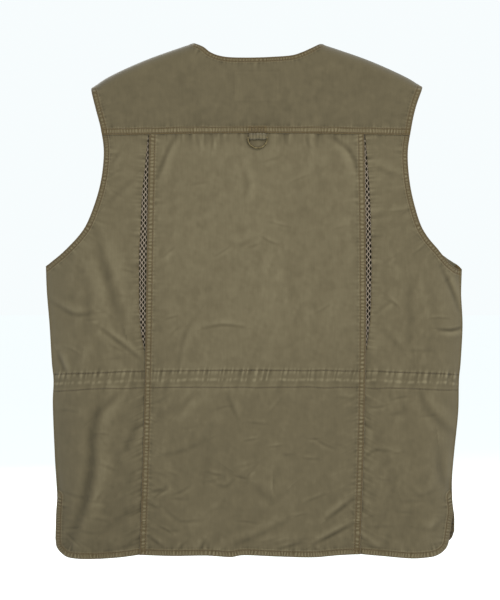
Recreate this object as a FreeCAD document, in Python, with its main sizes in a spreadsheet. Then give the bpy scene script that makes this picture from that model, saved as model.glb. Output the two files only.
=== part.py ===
"""A sleeveless fishing vest, upright as worn, in millimetres.

The wearer faces -Y. The back panels bulge towards +Y, the fronts towards -Y, and both meet at the side
seams on the plane y = 0. The origin is level with the neck points of the shoulders, over the middle.
"""

import FreeCAD, Part
import math
import os

import Sketcher

DRIVING = {
    # overall outline, as half widths from the middle and drops below the neck point
    "neck_half": 87.0,
    "neck_drop": 20.5,
    "neck_flat_half": 45.0,
    "shoulder_half": 229.0,
    "shoulder_drop": 62.0,
    "shoulder_arc": 620.0,
    "armhole_half": 209.0,
    "armhole_drop": 156.0,
    "armhole_top_arc": 250.0,
    "scoop_half": 239.0,
    "scoop_drop": 267.0,
    "scoop_arc": 221.0,
    "chest_half": 288.0,
    "armpit_drop": 311.0,
    "armpit_arc": 150.0,
    "hip_half": 274.0,
    "slit_drop": 628.0,
    "slit_gap": 1.6,
    "hem_drop": 711.0,
    "hem_corner": 24.0,
    "hem_rise": 4.0,
    "front_hem_rise": 13.0,
    # depth of the vest
    "back_depth": 20.0,
    "front_depth": 22.0,
    "flat_half": 215.0,
    "cloth": 1.2,
    "facing": 0.8,
    "seam_tip": 6.0,
    "form_top": 12.0,
    "form_reach": 60.0,
    # back seams and vents
    "yoke_drop": 127.0,
    "princess_top_half": 149.0,
    "princess_hem_half": 153.0,
    "vent_gap": 10.0,
    "vent_drop": 425.0,
    "vent_cover": 14.0,
    # waist tunnel and its cord
    "waist_drop": 454.0,
    "tunnel_height": 23.0,
    "tunnel_room": 3.6,
    "cord_radius": 1.5,
    "cord_arc_angle": 20.0,
    # bindings and the things sewn inside the neck
    "binding_width": 12.0,
    "label_half": 30.0,
    "label_top": 42.0,
    "label_height": 38.0,
    "loop_half": 27.0,
    "loop_depth": 9.0,
    "loop_height": 5.0,
    # D-ring on its tab
    "ring_wire": 1.35,
    "ring_radius": 13.2,
    "ring_corner": 1.5,
    "ring_drop": 132.0,
    "ring_stand": 2.7,
    "tab_half": 11.5,
    "tab_cloth": 0.9,
    "pin_room": 0.1,
    # fronts
    "front_yoke_drop": 75.0,
    "v_neck_drop": 195.0,
    "front_edge": 14.0,
    "fold_hem_half": 250.0,
    "fold_gap": 0.6,
    "lapel_drop": 16.0,
    "facing_width": 38.0,
    # zipper
    "tooth_tip": 4.5,
    "tooth_length": 3.6,
    "tooth_depth": 2.6,
    "tooth_width": 1.5,
    "tooth_pitch": 3.0,
    "tooth_count": 156.0,
    "bead_width": 1.2,
    "tape_width": 16.0,
    "zip_drop": 200.0,
    "slider_half": 5.0,
    "slider_height": 11.0,
    "slider_wall": 1.5,
    "slider_room": 0.4,
    "eye_radius": 1.7,
    "pull_length": 25.0,
    "pull_width": 5.0,
    "pull_thick": 1.4,
    # pockets and flaps
    "chest_inner": 32.0,
    "chest_width": 88.0,
    "chest_mouth": 225.0,
    "chest_height": 120.0,
    "chest_bulge": 9.0,
    "chest_flap_height": 50.0,
    "lower_inner": 30.0,
    "lower_width": 146.0,
    "lower_mouth": 454.0,
    "lower_height": 192.0,
    "lower_bulge": 15.0,
    "lower_flap_height": 60.0,
    "pocket_wall": 1.0,
    "pocket_corner": 14.0,
    "flap_side": 2.0,
    "flap_rise": 13.0,
    "flap_cloth": 1.6,
    "flap_room": 2.6,
    # snap fasteners
    "cap_radius": 6.2,
    "cap_thick": 1.0,
    "post_radius": 1.5,
    "socket_radius": 5.0,
    "socket_bore": 2.5,
    "socket_thick": 1.4,
    "stud_radius": 4.5,
    "stud_base": 0.8,
    "nipple_radius": 1.6,
    "nipple_height": 1.4,
    "snap_rise": 12.0,
}


class Size:
    """A length that knows its value and the spreadsheet formula that gives it."""

    def __init__(self, value, formula):
        self.value = value
        self.formula = formula

    def join(self, other, sign, value):
        return Size(value, f"({self.formula} {sign} {as_size(other).formula})")

    def __add__(self, other):
        return self.join(other, "+", self.value + as_size(other).value)

    def __sub__(self, other):
        return self.join(other, "-", self.value - as_size(other).value)

    def __mul__(self, other):
        return self.join(other, "*", self.value * as_size(other).value)

    def __truediv__(self, other):
        return self.join(other, "/", self.value / as_size(other).value)

    def __neg__(self):
        return Size(-self.value, f"(0 - {self.formula})")


def as_size(value):
    return value if isinstance(value, Size) else Size(float(value), f"{float(value)}")


class Dimensions:
    """The spreadsheet's cells by name, each one a Size."""

    def __init__(self, doc):
        sheet = doc.addObject("Spreadsheet::Sheet", "Sheet")
        for row, (name, value) in enumerate(DRIVING.items(), start=1):
            sheet.set(f"A{row}", str(value))
            sheet.setAlias(f"A{row}", name)
            setattr(self, name, Size(value, f"Sheet.{name}"))


class Arc:
    """The edge that leaves a corner as an arc. A positive bend keeps its centre on the left of the way."""

    def __init__(self, radius, bend):
        self.radius = as_size(radius)
        self.bend = bend


doc = FreeCAD.newDocument("fishing_vest")
d = Dimensions(doc)
doc.recompute()

HEM_BELOW_FORM = 20.0
TO_BACK = 1
TO_FRONT = -1
LEFT = 1
RIGHT = -1
SIDES = {"left": LEFT, "right": RIGHT}
subparts = []


def subpart(thing, label):
    thing.Label = label
    subparts.append(thing)
    return thing


# ---------------------------------------------------------------- sketches and solids


def plane_of(body, role):
    return next(f for f in body.Origin.OriginFeatures if f.Role == role)


def sketch_on(body, name, role, height):
    sketch = body.newObject("Sketcher::SketchObject", name)
    sketch.AttachmentSupport = [(plane_of(body, role), "")]
    sketch.MapMode = "FlatFace"
    sketch.setExpression(".AttachmentOffset.Base.z", as_size(height).formula)
    return sketch


def constrain(sketch, kind, size, *places):
    index = sketch.addConstraint(Sketcher.Constraint(kind, *places, size.value))
    sketch.setExpression(f"Constraints[{index}]", size.formula)


def edge_between(sketch, start, end, arc):
    """Adds a line or an arc, and returns its number and the positions of its start and end."""
    p = FreeCAD.Vector(start[0].value, start[1].value, 0)
    q = FreeCAD.Vector(end[0].value, end[1].value, 0)
    if arc is None:
        return sketch.addGeometry(Part.LineSegment(p, q), False), 1, 2
    along = q - p
    height = math.sqrt(arc.radius.value**2 - (along.Length / 2) ** 2)
    left = FreeCAD.Vector(-along.y, along.x, 0).normalize()
    centre = (p + q) * 0.5 + left * height * arc.bend
    first, last = (p, q) if arc.bend > 0 else (q, p)
    turn = [math.atan2(v.y - centre.y, v.x - centre.x) for v in (first, last)]
    circle = Part.Circle(centre, FreeCAD.Vector(0, 0, 1), arc.radius.value)
    number = sketch.addGeometry(Part.ArcOfCircle(circle, turn[0], turn[1]), False)
    constrain(sketch, "Radius", arc.radius, number)
    return (number, 1, 2) if arc.bend > 0 else (number, 2, 1)


def outline(sketch, corners):
    """Draws a closed outline. Each corner is (x, y) or (x, y, Arc), with the arc on the edge that leaves it."""
    places = [(as_size(c[0]), as_size(c[1])) for c in corners]
    arcs = [c[2] if len(c) > 2 else None for c in corners]
    count = len(corners)
    edges = []
    for i in range(count):
        edges.append(edge_between(sketch, places[i], places[(i + 1) % count], arcs[i]))
    for i, (number, start, end) in enumerate(edges):
        following, follow_start, _ = edges[(i + 1) % count]
        sketch.addConstraint(Sketcher.Constraint("Coincident", number, end, following, follow_start))
        constrain(sketch, "DistanceX", places[i][0], -1, 1, number, start)
        constrain(sketch, "DistanceY", places[i][1], -1, 1, number, start)


def circles(sketch, centres, radius):
    for x, y in centres:
        x, y, radius = as_size(x), as_size(y), as_size(radius)
        middle = FreeCAD.Vector(x.value, y.value, 0)
        circle = Part.Circle(middle, FreeCAD.Vector(0, 0, 1), radius.value)
        number = sketch.addGeometry(circle, False)
        constrain(sketch, "Radius", radius, number)
        constrain(sketch, "DistanceX", x, -1, 1, number, 3)
        constrain(sketch, "DistanceY", y, -1, 1, number, 3)


def new_body(name):
    return doc.addObject("PartDesign::Body", name)


def pad_y(body, corners, near, far):
    """Pads an outline drawn in X and Z from the depth near to the depth far."""
    near, far = as_size(near), as_size(far)
    sketch = sketch_on(body, "outline", "XZ_Plane", -near)
    outline(sketch, corners)
    return pad(body, sketch, near, far, far.value > near.value)


def pad(body, sketch, near, far, backwards):
    feature = body.newObject("PartDesign::Pad", "pad")
    feature.Profile = sketch
    feature.Reversed = backwards
    feature.setExpression("Length", (far - near if far.value > near.value else near - far).formula)
    return feature


def pad_x(body, corners, near, far):
    """Pads an outline drawn in Y and Z from one X to a larger one."""
    near, far = as_size(near), as_size(far)
    sketch = sketch_on(body, "profile", "YZ_Plane", near)
    outline(sketch, corners)
    return pad(body, sketch, near, far, False)


def pad_z(body, corners, bottom, top):
    """Pads an outline drawn in X and Y from one height up to another."""
    bottom, top = as_size(bottom), as_size(top)
    sketch = sketch_on(body, "section", "XY_Plane", bottom)
    outline(sketch, corners)
    return pad(body, sketch, bottom, top, False)


def rounds_y(name, centres, radius, near, far):
    """Discs, posts or bores along Y, each in its own body."""
    near, far = as_size(near), as_size(far)
    bodies = []
    for i, centre in enumerate(centres):
        body = new_body(f"{name}_{i + 1}")
        sketch = sketch_on(body, "circle", "XZ_Plane", -near)
        circles(sketch, [centre], radius)
        pad(body, sketch, near, far, far.value > near.value)
        bodies.append(body)
    return bodies


def rectangle(x1, z1, x2, z2):
    return [(x1, z1), (x2, z1), (x2, z2), (x1, z2)]


def mirrored(corners, side):
    """The same corners on the other side of the middle, for side RIGHT."""
    if side == LEFT:
        return corners
    turned = []
    for corner in corners:
        arc = [Arc(corner[2].radius, -corner[2].bend)] if len(corner) > 2 else []
        turned.append((-as_size(corner[0]), corner[1], *arc))
    return turned


def prism(name, corners, near, far):
    body = new_body(name)
    pad_y(body, corners, near, far)
    return body


def common(name, first, second):
    made = doc.addObject("Part::Common", name)
    made.Base = first
    made.Tool = second
    return made


def cut(name, base, tool):
    made = doc.addObject("Part::Cut", name)
    made.Base = base
    made.Tool = tool
    return made


def fuse(name, pieces):
    made = doc.addObject("Part::MultiFuse", name)
    made.Shapes = pieces
    made.Refine = True
    return made


def group(name, pieces):
    made = doc.addObject("Part::Compound", name)
    made.Links = pieces
    return made


# ---------------------------------------------------------------- the hollow form of the vest


def section_corners(half, back, front):
    """The lens-shaped cross-section: flat in the middle, with arcs down to the side seams."""
    reach = half - d.flat_half
    back_arc = (reach * reach + back * back) / (back * 2)
    front_arc = (reach * reach + front * front) / (front * 2)
    return [
        (half, 0, Arc(back_arc, 1)),
        (d.flat_half, back),
        (-d.flat_half, back, Arc(back_arc, 1)),
        (-half, 0, Arc(front_arc, 1)),
        (-d.flat_half, -front),
        (d.flat_half, -front, Arc(front_arc, 1)),
    ]


def vest_form(name, inset, side_inset):
    """A solid lofted through four cross-sections, the whole form moved inwards by inset."""
    body = new_body(name)
    heights = [
        (d.form_top, d.chest_half),
        (-d.armpit_drop, d.chest_half),
        (-d.slit_drop, d.hip_half),
        (-d.hem_drop - HEM_BELOW_FORM, d.hip_half),
    ]
    sketches = []
    for i, (height, half) in enumerate(heights):
        sketch = sketch_on(body, f"section_{i + 1}", "XY_Plane", height)
        outline(sketch, section_corners(half - side_inset, d.back_depth - inset, d.front_depth - inset))
        sketches.append(sketch)
    loft = body.newObject("PartDesign::AdditiveLoft", "loft")
    loft.Profile = sketches[0]
    loft.Sections = sketches[1:]
    loft.Ruled = True
    return body


outer_form = vest_form("outer_form", as_size(0), as_size(0))
inner_form = vest_form("inner_form", d.cloth, d.seam_tip)
lining_form = vest_form("lining_form", d.cloth + d.facing, d.seam_tip + 4)
tunnel_form = vest_form("tunnel_form", d.cloth + d.tunnel_room, d.seam_tip + 10)
strip_form = vest_form("strip_form", d.cloth + d.tunnel_room + d.facing, d.seam_tip + 14)
wall = cut("wall", outer_form, inner_form)
lining = cut("lining", inner_form, lining_form)

armhole = [
    (d.shoulder_half, -d.shoulder_drop, Arc(d.armhole_top_arc, 1)),
    (d.armhole_half, -d.armhole_drop, Arc(d.scoop_arc, 1)),
    (d.scoop_half, -d.scoop_drop, Arc(d.armpit_arc, 1)),
    (d.chest_half, -d.armpit_drop),
]


def lower_side(hem_drop):
    """From the armpit down the side seam and round the hem's corner."""
    return [
        (d.hip_half, -d.slit_drop),
        (d.hip_half + 1, -(hem_drop - d.hem_corner), Arc(d.hem_corner, -1)),
        (d.hip_half + 1 - d.hem_corner, -hem_drop),
    ]


def other_half(corners):
    """The same run of corners on the other side, walked backwards, so that it closes the outline."""
    back = []
    for i in range(len(corners) - 1, -1, -1):
        x, z = corners[i][0], corners[i][1]
        arc = corners[i - 1][2] if i > 0 and len(corners[i - 1]) > 2 else None
        back.append((-as_size(x), z, arc) if arc else (-as_size(x), z))
    return back


neck_reach = d.neck_half - d.neck_flat_half
neck_arc = (neck_reach * neck_reach + d.neck_drop * d.neck_drop) / (d.neck_drop * 2)
back_half = [
    (d.neck_flat_half, -d.neck_drop, Arc(neck_arc, 1)),
    (d.neck_half, 0, Arc(d.shoulder_arc, -1)),
    *armhole,
    *lower_side(d.hem_drop),
    (d.princess_hem_half + 20, -d.hem_drop),
    (d.princess_hem_half - 5, -(d.hem_drop - d.hem_rise)),
]
front_hem_drop = d.hem_drop - d.front_hem_rise
front_half = [
    (d.front_edge, -d.v_neck_drop),
    (d.neck_half, 0, Arc(d.shoulder_arc, -1)),
    *armhole,
    *lower_side(front_hem_drop),
]
back_outline = prism("back_outline", back_half + other_half(back_half), 0, d.form_reach)
front_outline = prism("front_outline", front_half + other_half(front_half), 0, -d.form_reach)
back_wall_whole = common("back_wall_whole", wall, back_outline)
front_wall_whole = common("front_wall_whole", wall, front_outline)

# The back and front part at the sides below the slit's top.
slit_box = prism(
    "slit_box",
    rectangle(-d.chest_half - 10, -d.slit_drop, d.chest_half + 10, -d.hem_drop - HEM_BELOW_FORM),
    -d.slit_gap / 2,
    d.slit_gap / 2,
)
back_wall = cut("back_wall", back_wall_whole, slit_box)
front_wall = cut("front_wall", front_wall_whole, slit_box)

# ---------------------------------------------------------------- back panels

FAR = 320.0
seam_slope = (d.princess_hem_half - d.princess_top_half) / (d.hem_drop - d.yoke_drop)
vent_half = d.princess_top_half + (d.vent_drop - d.yoke_drop) * seam_slope


def back_yoke():
    """The yoke runs from the back seam over the shoulders to a short seam on each front."""
    above = prism("yoke_region", rectangle(-FAR, -d.yoke_drop, FAR, FAR / 4), 0, d.form_reach)
    pieces = [common("yoke_back", back_wall, above)]
    for word, side in SIDES.items():
        roof_corners = [
            (d.neck_half, 0, Arc(d.shoulder_arc, -1)),
            (d.shoulder_half, -d.shoulder_drop),
            (d.shoulder_half, -d.shoulder_drop - d.cloth * 1.1, Arc(d.shoulder_arc, 1)),
            (d.neck_half, -(d.cloth * 1.1)),
        ]
        roof_prism = prism(f"roof_region_{word}", mirrored(roof_corners, side), d.form_reach, -d.form_reach)
        pieces.append(common(f"yoke_roof_{word}", outer_form, roof_prism))
        front_corners = [
            (fold_at(d.front_yoke_drop), -d.front_yoke_drop),
            (fold_at(d.lapel_drop) + d.fold_gap, -d.lapel_drop + d.fold_gap),
            (d.neck_half - 40, -d.lapel_drop + d.fold_gap),
            (d.neck_half - 40, 40),
            (FAR, 40),
            (FAR, -d.front_yoke_drop),
        ]
        region = prism(f"yoke_front_region_{word}", mirrored(front_corners, side), 0, -d.form_reach)
        pieces.append(common(f"yoke_front_{word}", front_wall, region))
    subpart(fuse("yoke", pieces), "back_yoke")


def fold_at(drop):
    """Half width of the fold line, on which a front swings open, at a drop below the neck point."""
    return d.neck_half + (d.fold_hem_half - d.neck_half) * drop / front_hem_drop


def back_panels():
    centre_corners = [
        (d.princess_top_half, -d.yoke_drop),
        (d.princess_hem_half, -d.hem_drop - 5),
        (-d.princess_hem_half, -d.hem_drop - 5),
        (-d.princess_top_half, -d.yoke_drop),
    ]
    region = prism("centre_region", centre_corners, 0, d.form_reach)
    subpart(common("centre_panel", back_wall, region), "back_center_panel")
    for word, side in SIDES.items():
        side_corners = [
            (d.princess_top_half + d.vent_gap * 0.2, -d.yoke_drop),
            (vent_half - 0.5 + d.vent_gap, -(d.yoke_drop + d.vent_drop) / 2),
            (vent_half, -d.vent_drop),
            (d.princess_hem_half, -d.hem_drop - 5),
            (FAR, -d.hem_drop - 5),
            (FAR, -d.yoke_drop),
        ]
        region = prism(f"side_region_{word}", mirrored(side_corners, side), 0, d.form_reach)
        subpart(common(f"side_panel_{word}", back_wall, region), f"back_side_panel_{word}")


def vent_meshes():
    for word, side in SIDES.items():
        corners = [
            (d.princess_top_half - d.vent_cover, -d.yoke_drop - 1),
            (vent_half - d.vent_cover, -d.vent_drop - 12),
            (vent_half + d.vent_cover, -d.vent_drop - 12),
            (d.princess_top_half + d.vent_gap + d.vent_cover, -d.yoke_drop - 1),
        ]
        region = prism(f"vent_region_{word}", mirrored(corners, side), 0, d.form_reach)
        subpart(common(f"mesh_{word}", lining, region), f"vent_mesh_{word}")


def waist_tunnel(cord):
    """A strip sewn across the inside of the back. The cord's ends are held in its closed ends."""
    reach = d.chest_half - 20
    room_reach = d.flat_half + 26
    inner = cut("tunnel_space", inner_form, strip_form)
    room = cut("channel_space", inner_form, tunnel_form)
    band = prism(
        "tunnel_band",
        rectangle(-reach, -d.waist_drop, reach, -d.waist_drop - d.tunnel_height),
        2,
        d.form_reach,
    )
    channel_band = prism(
        "channel_band",
        rectangle(
            -room_reach, -d.waist_drop - d.cloth, room_reach, -d.waist_drop - d.tunnel_height + d.cloth
        ),
        1,
        d.form_reach,
    )
    whole = common("tunnel_whole", inner, band)
    channel = common("channel", room, channel_band)
    subpart(cut("tunnel", cut("tunnel_open", whole, channel), cord), "waist_tunnel")


def waist_cord():
    """The elastic cord lies along the tunnel: straight across the middle, with an arc to each side."""
    depth = d.back_depth - d.cloth - d.tunnel_room / 2
    reach = d.chest_half - d.seam_tip - 12 - d.flat_half
    arc_radius = (reach * reach + depth * depth) / (depth * 2)
    height = -(d.waist_drop + d.tunnel_height / 2)
    straight = doc.addObject("Part::Cylinder", "cord_middle")
    straight.setExpression("Radius", d.cord_radius.formula)
    straight.setExpression("Height", (d.flat_half * 2).formula)
    straight.Placement = FreeCAD.Placement(
        FreeCAD.Vector(0, 0, 0), FreeCAD.Rotation(FreeCAD.Vector(0, 1, 0), 90)
    )
    place(straight, -d.flat_half, depth, height)
    pieces = [straight]
    for word, side in SIDES.items():
        bend = doc.addObject("Part::Torus", f"cord_{word}")
        bend.setExpression("Radius1", arc_radius.formula)
        bend.setExpression("Radius2", d.cord_radius.formula)
        bend.setExpression("Angle3", d.cord_arc_angle.formula)
        start = 90.0 - (d.cord_arc_angle.value if side == LEFT else 0.0)
        bend.Placement = FreeCAD.Placement(
            FreeCAD.Vector(0, 0, 0), FreeCAD.Rotation(FreeCAD.Vector(0, 0, 1), start)
        )
        place(bend, d.flat_half * side, depth - arc_radius, height)
        pieces.append(bend)
    return subpart(fuse("cord", pieces), "waist_cord")


def place(thing, x, y, z):
    for axis, size in zip("xyz", (x, y, z)):
        thing.setExpression(f".Placement.Base.{axis}", as_size(size).formula)


# ---------------------------------------------------------------- bindings, label and hanger loop


def armhole_bindings():
    """A facing that follows each armhole inside, round the armpit from the back to the front."""
    for word, side in SIDES.items():
        shifted = [(x - d.binding_width, z, *arc) for x, z, *arc in armhole]
        return_run = []
        for i in range(len(shifted) - 1, -1, -1):
            x, z = shifted[i][0], shifted[i][1]
            arc = shifted[i - 1][2] if i > 0 else None
            return_run.append((x, z, Arc(arc.radius, -arc.bend)) if arc else (x, z))
        band = prism(
            f"armhole_band_{word}",
            mirrored(armhole + return_run, side),
            -d.form_reach,
            d.form_reach,
        )
        below = prism(
            f"armhole_below_{word}",
            mirrored(rectangle(100, -d.shoulder_drop - 8, FAR, -d.armpit_drop - 20), side),
            -d.form_reach,
            d.form_reach,
        )
        trimmed = common(f"armhole_trim_{word}", band, below)
        subpart(common(f"armhole_{word}", lining, trimmed), f"armhole_binding_{word}")


def neck_binding():
    """A facing inside the back neck."""
    top = [
        (-(d.neck_half - 4), -3, Arc(neck_arc, 1)),
        (-d.neck_flat_half, -d.neck_drop),
        (d.neck_flat_half, -d.neck_drop, Arc(neck_arc, 1)),
        (d.neck_half - 4, -3),
        (d.neck_half - 1, -d.binding_width - 3, Arc(neck_arc * 2, -1)),
        (d.neck_flat_half, -d.neck_drop - d.binding_width),
        (-d.neck_flat_half, -d.neck_drop - d.binding_width, Arc(neck_arc * 2, -1)),
        (-(d.neck_half - 1), -d.binding_width - 3),
    ]
    band = prism("neck_band", top, 0, d.form_reach)
    trimmed = common("neck_trim", band, back_outline)
    subpart(common("neck_facing", lining, trimmed), "neck_binding_back")


def hanger_loop():
    """A strip held at both ends, standing off the neck facing so that a hook goes behind it."""
    back = d.back_depth - d.cloth - d.facing
    gap = d.loop_depth - d.facing
    corners = [
        (-d.loop_half, back),
        (-d.loop_half, back - d.facing * 2),
        (-d.loop_half * 0.55, back - d.loop_depth),
        (d.loop_half * 0.55, back - d.loop_depth),
        (d.loop_half, back - d.facing * 2),
        (d.loop_half, back),
        (d.loop_half - 5, back),
        (d.loop_half * 0.5, back - gap),
        (-d.loop_half * 0.5, back - gap),
        (-(d.loop_half - 5), back),
    ]
    body = new_body("loop")
    bottom = -(d.neck_drop + d.binding_width) + 1
    pad_z(body, corners, bottom, bottom + d.loop_height)
    subpart(body, "hanger_loop")


def neck_label():
    inside = d.back_depth - d.cloth
    body = prism(
        "label",
        rectangle(-d.label_half, -d.label_top, d.label_half, -d.label_top - d.label_height),
        inside - 0.5,
        inside,
    )
    subpart(body, "neck_label")


# ---------------------------------------------------------------- D-ring and its tab


def d_ring():
    """A bent wire: a straight bar in the tab, two small corners and a half circle below."""
    depth = d.back_depth + d.ring_stand
    bar_half = d.ring_radius - d.ring_corner
    bar = doc.addObject("Part::Cylinder", "ring_bar")
    bar.setExpression("Radius", d.ring_wire.formula)
    bar.setExpression("Height", (bar_half * 2).formula)
    bar.Placement = FreeCAD.Placement(
        FreeCAD.Vector(0, 0, 0), FreeCAD.Rotation(FreeCAD.Vector(0, 1, 0), 90)
    )
    place(bar, -bar_half, depth, -d.ring_drop)
    pieces = [bar]
    # A torus stands upright when it is turned about X, and its sweep then runs from +X towards +Z.
    arcs = [
        ("ring_half", d.ring_radius, 180.0, 180.0, 0),
        ("ring_corner_left", d.ring_corner, 90.0, 0.0, LEFT),
        ("ring_corner_right", d.ring_corner, 90.0, 90.0, RIGHT),
    ]
    for name, radius, sweep, start, side in arcs:
        arc = doc.addObject("Part::Torus", name)
        arc.setExpression("Radius1", radius.formula)
        arc.setExpression("Radius2", d.ring_wire.formula)
        arc.Angle3 = sweep
        upright = FreeCAD.Rotation(FreeCAD.Vector(1, 0, 0), 90)
        arc.Placement = FreeCAD.Placement(
            FreeCAD.Vector(0, 0, 0),
            upright.multiply(FreeCAD.Rotation(FreeCAD.Vector(0, 0, 1), start)),
        )
        place(arc, bar_half * side, depth, -d.ring_drop - d.ring_corner)
        pieces.append(arc)
    subpart(fuse("ring", pieces), "d_ring")


def d_ring_tab():
    """A folded strip: it runs down from the yoke seam, round the ring's bar and back up."""
    outer = d.ring_wire + d.pin_room + d.tab_cloth
    middle = d.back_depth + d.ring_stand
    round_part = doc.addObject("Part::Cylinder", "tab_round")
    round_part.setExpression("Radius", outer.formula)
    round_part.setExpression("Height", (d.tab_half * 2).formula)
    bore = doc.addObject("Part::Cylinder", "tab_bore")
    bore.setExpression("Radius", (d.ring_wire + d.pin_room).formula)
    bore.setExpression("Height", (d.tab_half * 2 + 2).formula)
    for cylinder in (round_part, bore):
        cylinder.Placement = FreeCAD.Placement(
            FreeCAD.Vector(0, 0, 0), FreeCAD.Rotation(FreeCAD.Vector(0, 1, 0), 90)
        )
    place(round_part, -d.tab_half, middle, -d.ring_drop)
    place(bore, -d.tab_half - 1, middle, -d.ring_drop)
    strip = new_body("tab_strip")
    profile = [
        (d.back_depth, -d.yoke_drop),
        (d.back_depth + d.tab_cloth * 2, -d.yoke_drop),
        (middle + outer * 0.7, -d.ring_drop + outer * 0.7),
        (middle - outer * 0.5, -d.ring_drop + outer * 0.85),
        (d.back_depth, -d.ring_drop + outer * 1.4),
    ]
    pad_x(strip, profile, -d.tab_half, d.tab_half)
    subpart(cut("tab", fuse("tab_whole", [strip, round_part]), bore), "d_ring_tab")


# ---------------------------------------------------------------- fronts


def front_side_panels():
    """The armhole side of each front, which stays with the back."""
    for word, side in SIDES.items():
        corners = [
            (fold_at(d.front_yoke_drop), -d.front_yoke_drop),
            (fold_at(front_hem_drop + 5), -front_hem_drop - 5),
            (FAR, -front_hem_drop - 5),
            (FAR, -d.front_yoke_drop),
        ]
        region = prism(f"front_side_region_{word}", mirrored(corners, side), 0, -d.form_reach)
        subpart(common(f"front_side_{word}", front_wall, region), f"front_side_panel_{word}")


def front_panels():
    """The part of each front that swings open, from the neckline and zipper out to the fold line."""
    for word, side in SIDES.items():
        corners = [
            (d.neck_half - 60, -d.lapel_drop),
            (fold_at(d.lapel_drop) - d.fold_gap, -d.lapel_drop),
            (fold_at(front_hem_drop + 5) - d.fold_gap, -front_hem_drop - 5),
            (d.front_edge, -front_hem_drop - 5),
            (d.front_edge, -d.v_neck_drop - 1),
        ]
        region = prism(f"front_region_{word}", mirrored(corners, side), 0, -d.form_reach)
        subpart(common(f"front_{word}", front_wall, region), f"front_panel_{word}")


inside_front = -(d.front_depth - d.cloth)
neck_slope = (d.neck_half - d.front_edge) / d.v_neck_drop


def front_facings():
    """A facing behind each front edge, inside the zipper tape, and a binding along each neckline."""
    for word, side in SIDES.items():
        facing = rectangle(
            d.front_edge,
            -d.zip_drop,
            d.front_edge + d.facing_width,
            -(front_hem_drop - 2),
        )
        body = prism(
            f"facing_{word}", mirrored(facing, side), inside_front + d.facing, inside_front + d.facing * 2
        )
        subpart(body, f"front_facing_{word}")
        low = d.v_neck_drop - 2
        high = d.lapel_drop * 2.5
        corners = [
            (d.front_edge + neck_slope * (d.v_neck_drop - low), -low),
            (d.front_edge + neck_slope * (d.v_neck_drop - high), -high),
            (d.front_edge + neck_slope * (d.v_neck_drop - high) + d.binding_width * 0.8, -high),
            (d.front_edge + neck_slope * (d.v_neck_drop - low) + d.binding_width, -low),
        ]
        body = prism(f"neck_{word}", mirrored(corners, side), inside_front, inside_front + d.facing)
        subpart(body, f"neck_binding_front_{word}")


# ---------------------------------------------------------------- zipper

tape_front = inside_front
tape_middle = inside_front + d.facing / 2
bead_start = d.tooth_tip + d.tooth_length
zip_length = d.tooth_pitch * d.tooth_count
zip_bottom = d.zip_drop + zip_length
CLEAR = 0.3
slider_middle = d.tooth_tip + (d.tooth_length + d.bead_width) / 2


def zipper_halves():
    for word, side in SIDES.items():
        inner_edge = bead_start + d.bead_width
        tape = rectangle(inner_edge, -d.zip_drop + 3, inner_edge + d.tape_width, -zip_bottom - 14)
        body = prism(f"tape_{word}", mirrored(tape, side), tape_front, tape_front + d.facing)
        subpart(body, f"zip_tape_{word}")
        zip_teeth(word, side)
        stop = rectangle(d.tooth_tip + 0.4, -d.zip_drop + 3, inner_edge, -d.zip_drop)
        half = d.tooth_depth / 2
        body = prism(f"stop_{word}", mirrored(stop, side), tape_middle - half, tape_middle + half)
        subpart(body, f"zip_top_stop_{word}")


def zip_teeth(word, side):
    """A row of moulded teeth on its bead cord. The two rows are half a pitch apart."""
    body = new_body(f"teeth_{word}")
    bead = rectangle(bead_start, -d.zip_drop, bead_start + d.bead_width, -zip_bottom)
    pad_y(
        body,
        mirrored(bead, side),
        tape_middle - d.tooth_depth * 0.42,
        tape_middle + d.tooth_depth * 0.42,
    )
    shift = d.tooth_pitch * (0.25 if side == LEFT else 0.75)
    top = -d.zip_drop - shift + d.tooth_width / 2
    tooth = rectangle(d.tooth_tip, top, bead_start + 0.2, top - d.tooth_width)
    first = pad_y(
        body, mirrored(tooth, side), tape_middle - d.tooth_depth / 2, tape_middle + d.tooth_depth / 2
    )
    doc.recompute()
    row = body.newObject("PartDesign::LinearPattern", "row")
    row.Originals = [first]
    row.Direction = (plane_of(body, "Z_Axis"), [""])
    row.Reversed = True
    row.Occurrences = int(d.tooth_count.value)
    row.setExpression("Length", (d.tooth_pitch * (d.tooth_count - 1)).formula)
    body.Tip = row
    subpart(body, f"zip_teeth_{word}")


def zip_ends():
    """The box on the left tape, where the slider rests, and the pin on the right one."""
    half = d.tooth_depth / 2 + 0.8
    inner_edge = bead_start + d.bead_width
    box = rectangle(d.tooth_tip - 1.5, -zip_bottom, inner_edge, -zip_bottom - 8)
    body = prism("box", box, tape_middle - half, tape_middle + half)
    subpart(body, "zip_retainer_box")
    pin = rectangle(d.tooth_tip + 0.6, -zip_bottom, inner_edge, -zip_bottom - 13)
    half = d.tooth_depth / 2
    body = prism("pin", mirrored(pin, RIGHT), tape_middle - half, tape_middle + half)
    subpart(body, "zip_pin")


slider_bottom = -zip_bottom + CLEAR
slider_top = slider_bottom + d.slider_height
slider_front = tape_middle - d.tooth_depth / 2 - d.slider_room - d.slider_wall
slider_back = tape_middle + d.tooth_depth / 2 + d.slider_room + d.slider_wall
eye_depth = slider_front - d.eye_radius - 0.35
eye_height = slider_top - 3.2
PIN_RADIUS = 0.85
EAR_WIDTH = 1.1
EYE_HALF = 1.4


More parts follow.
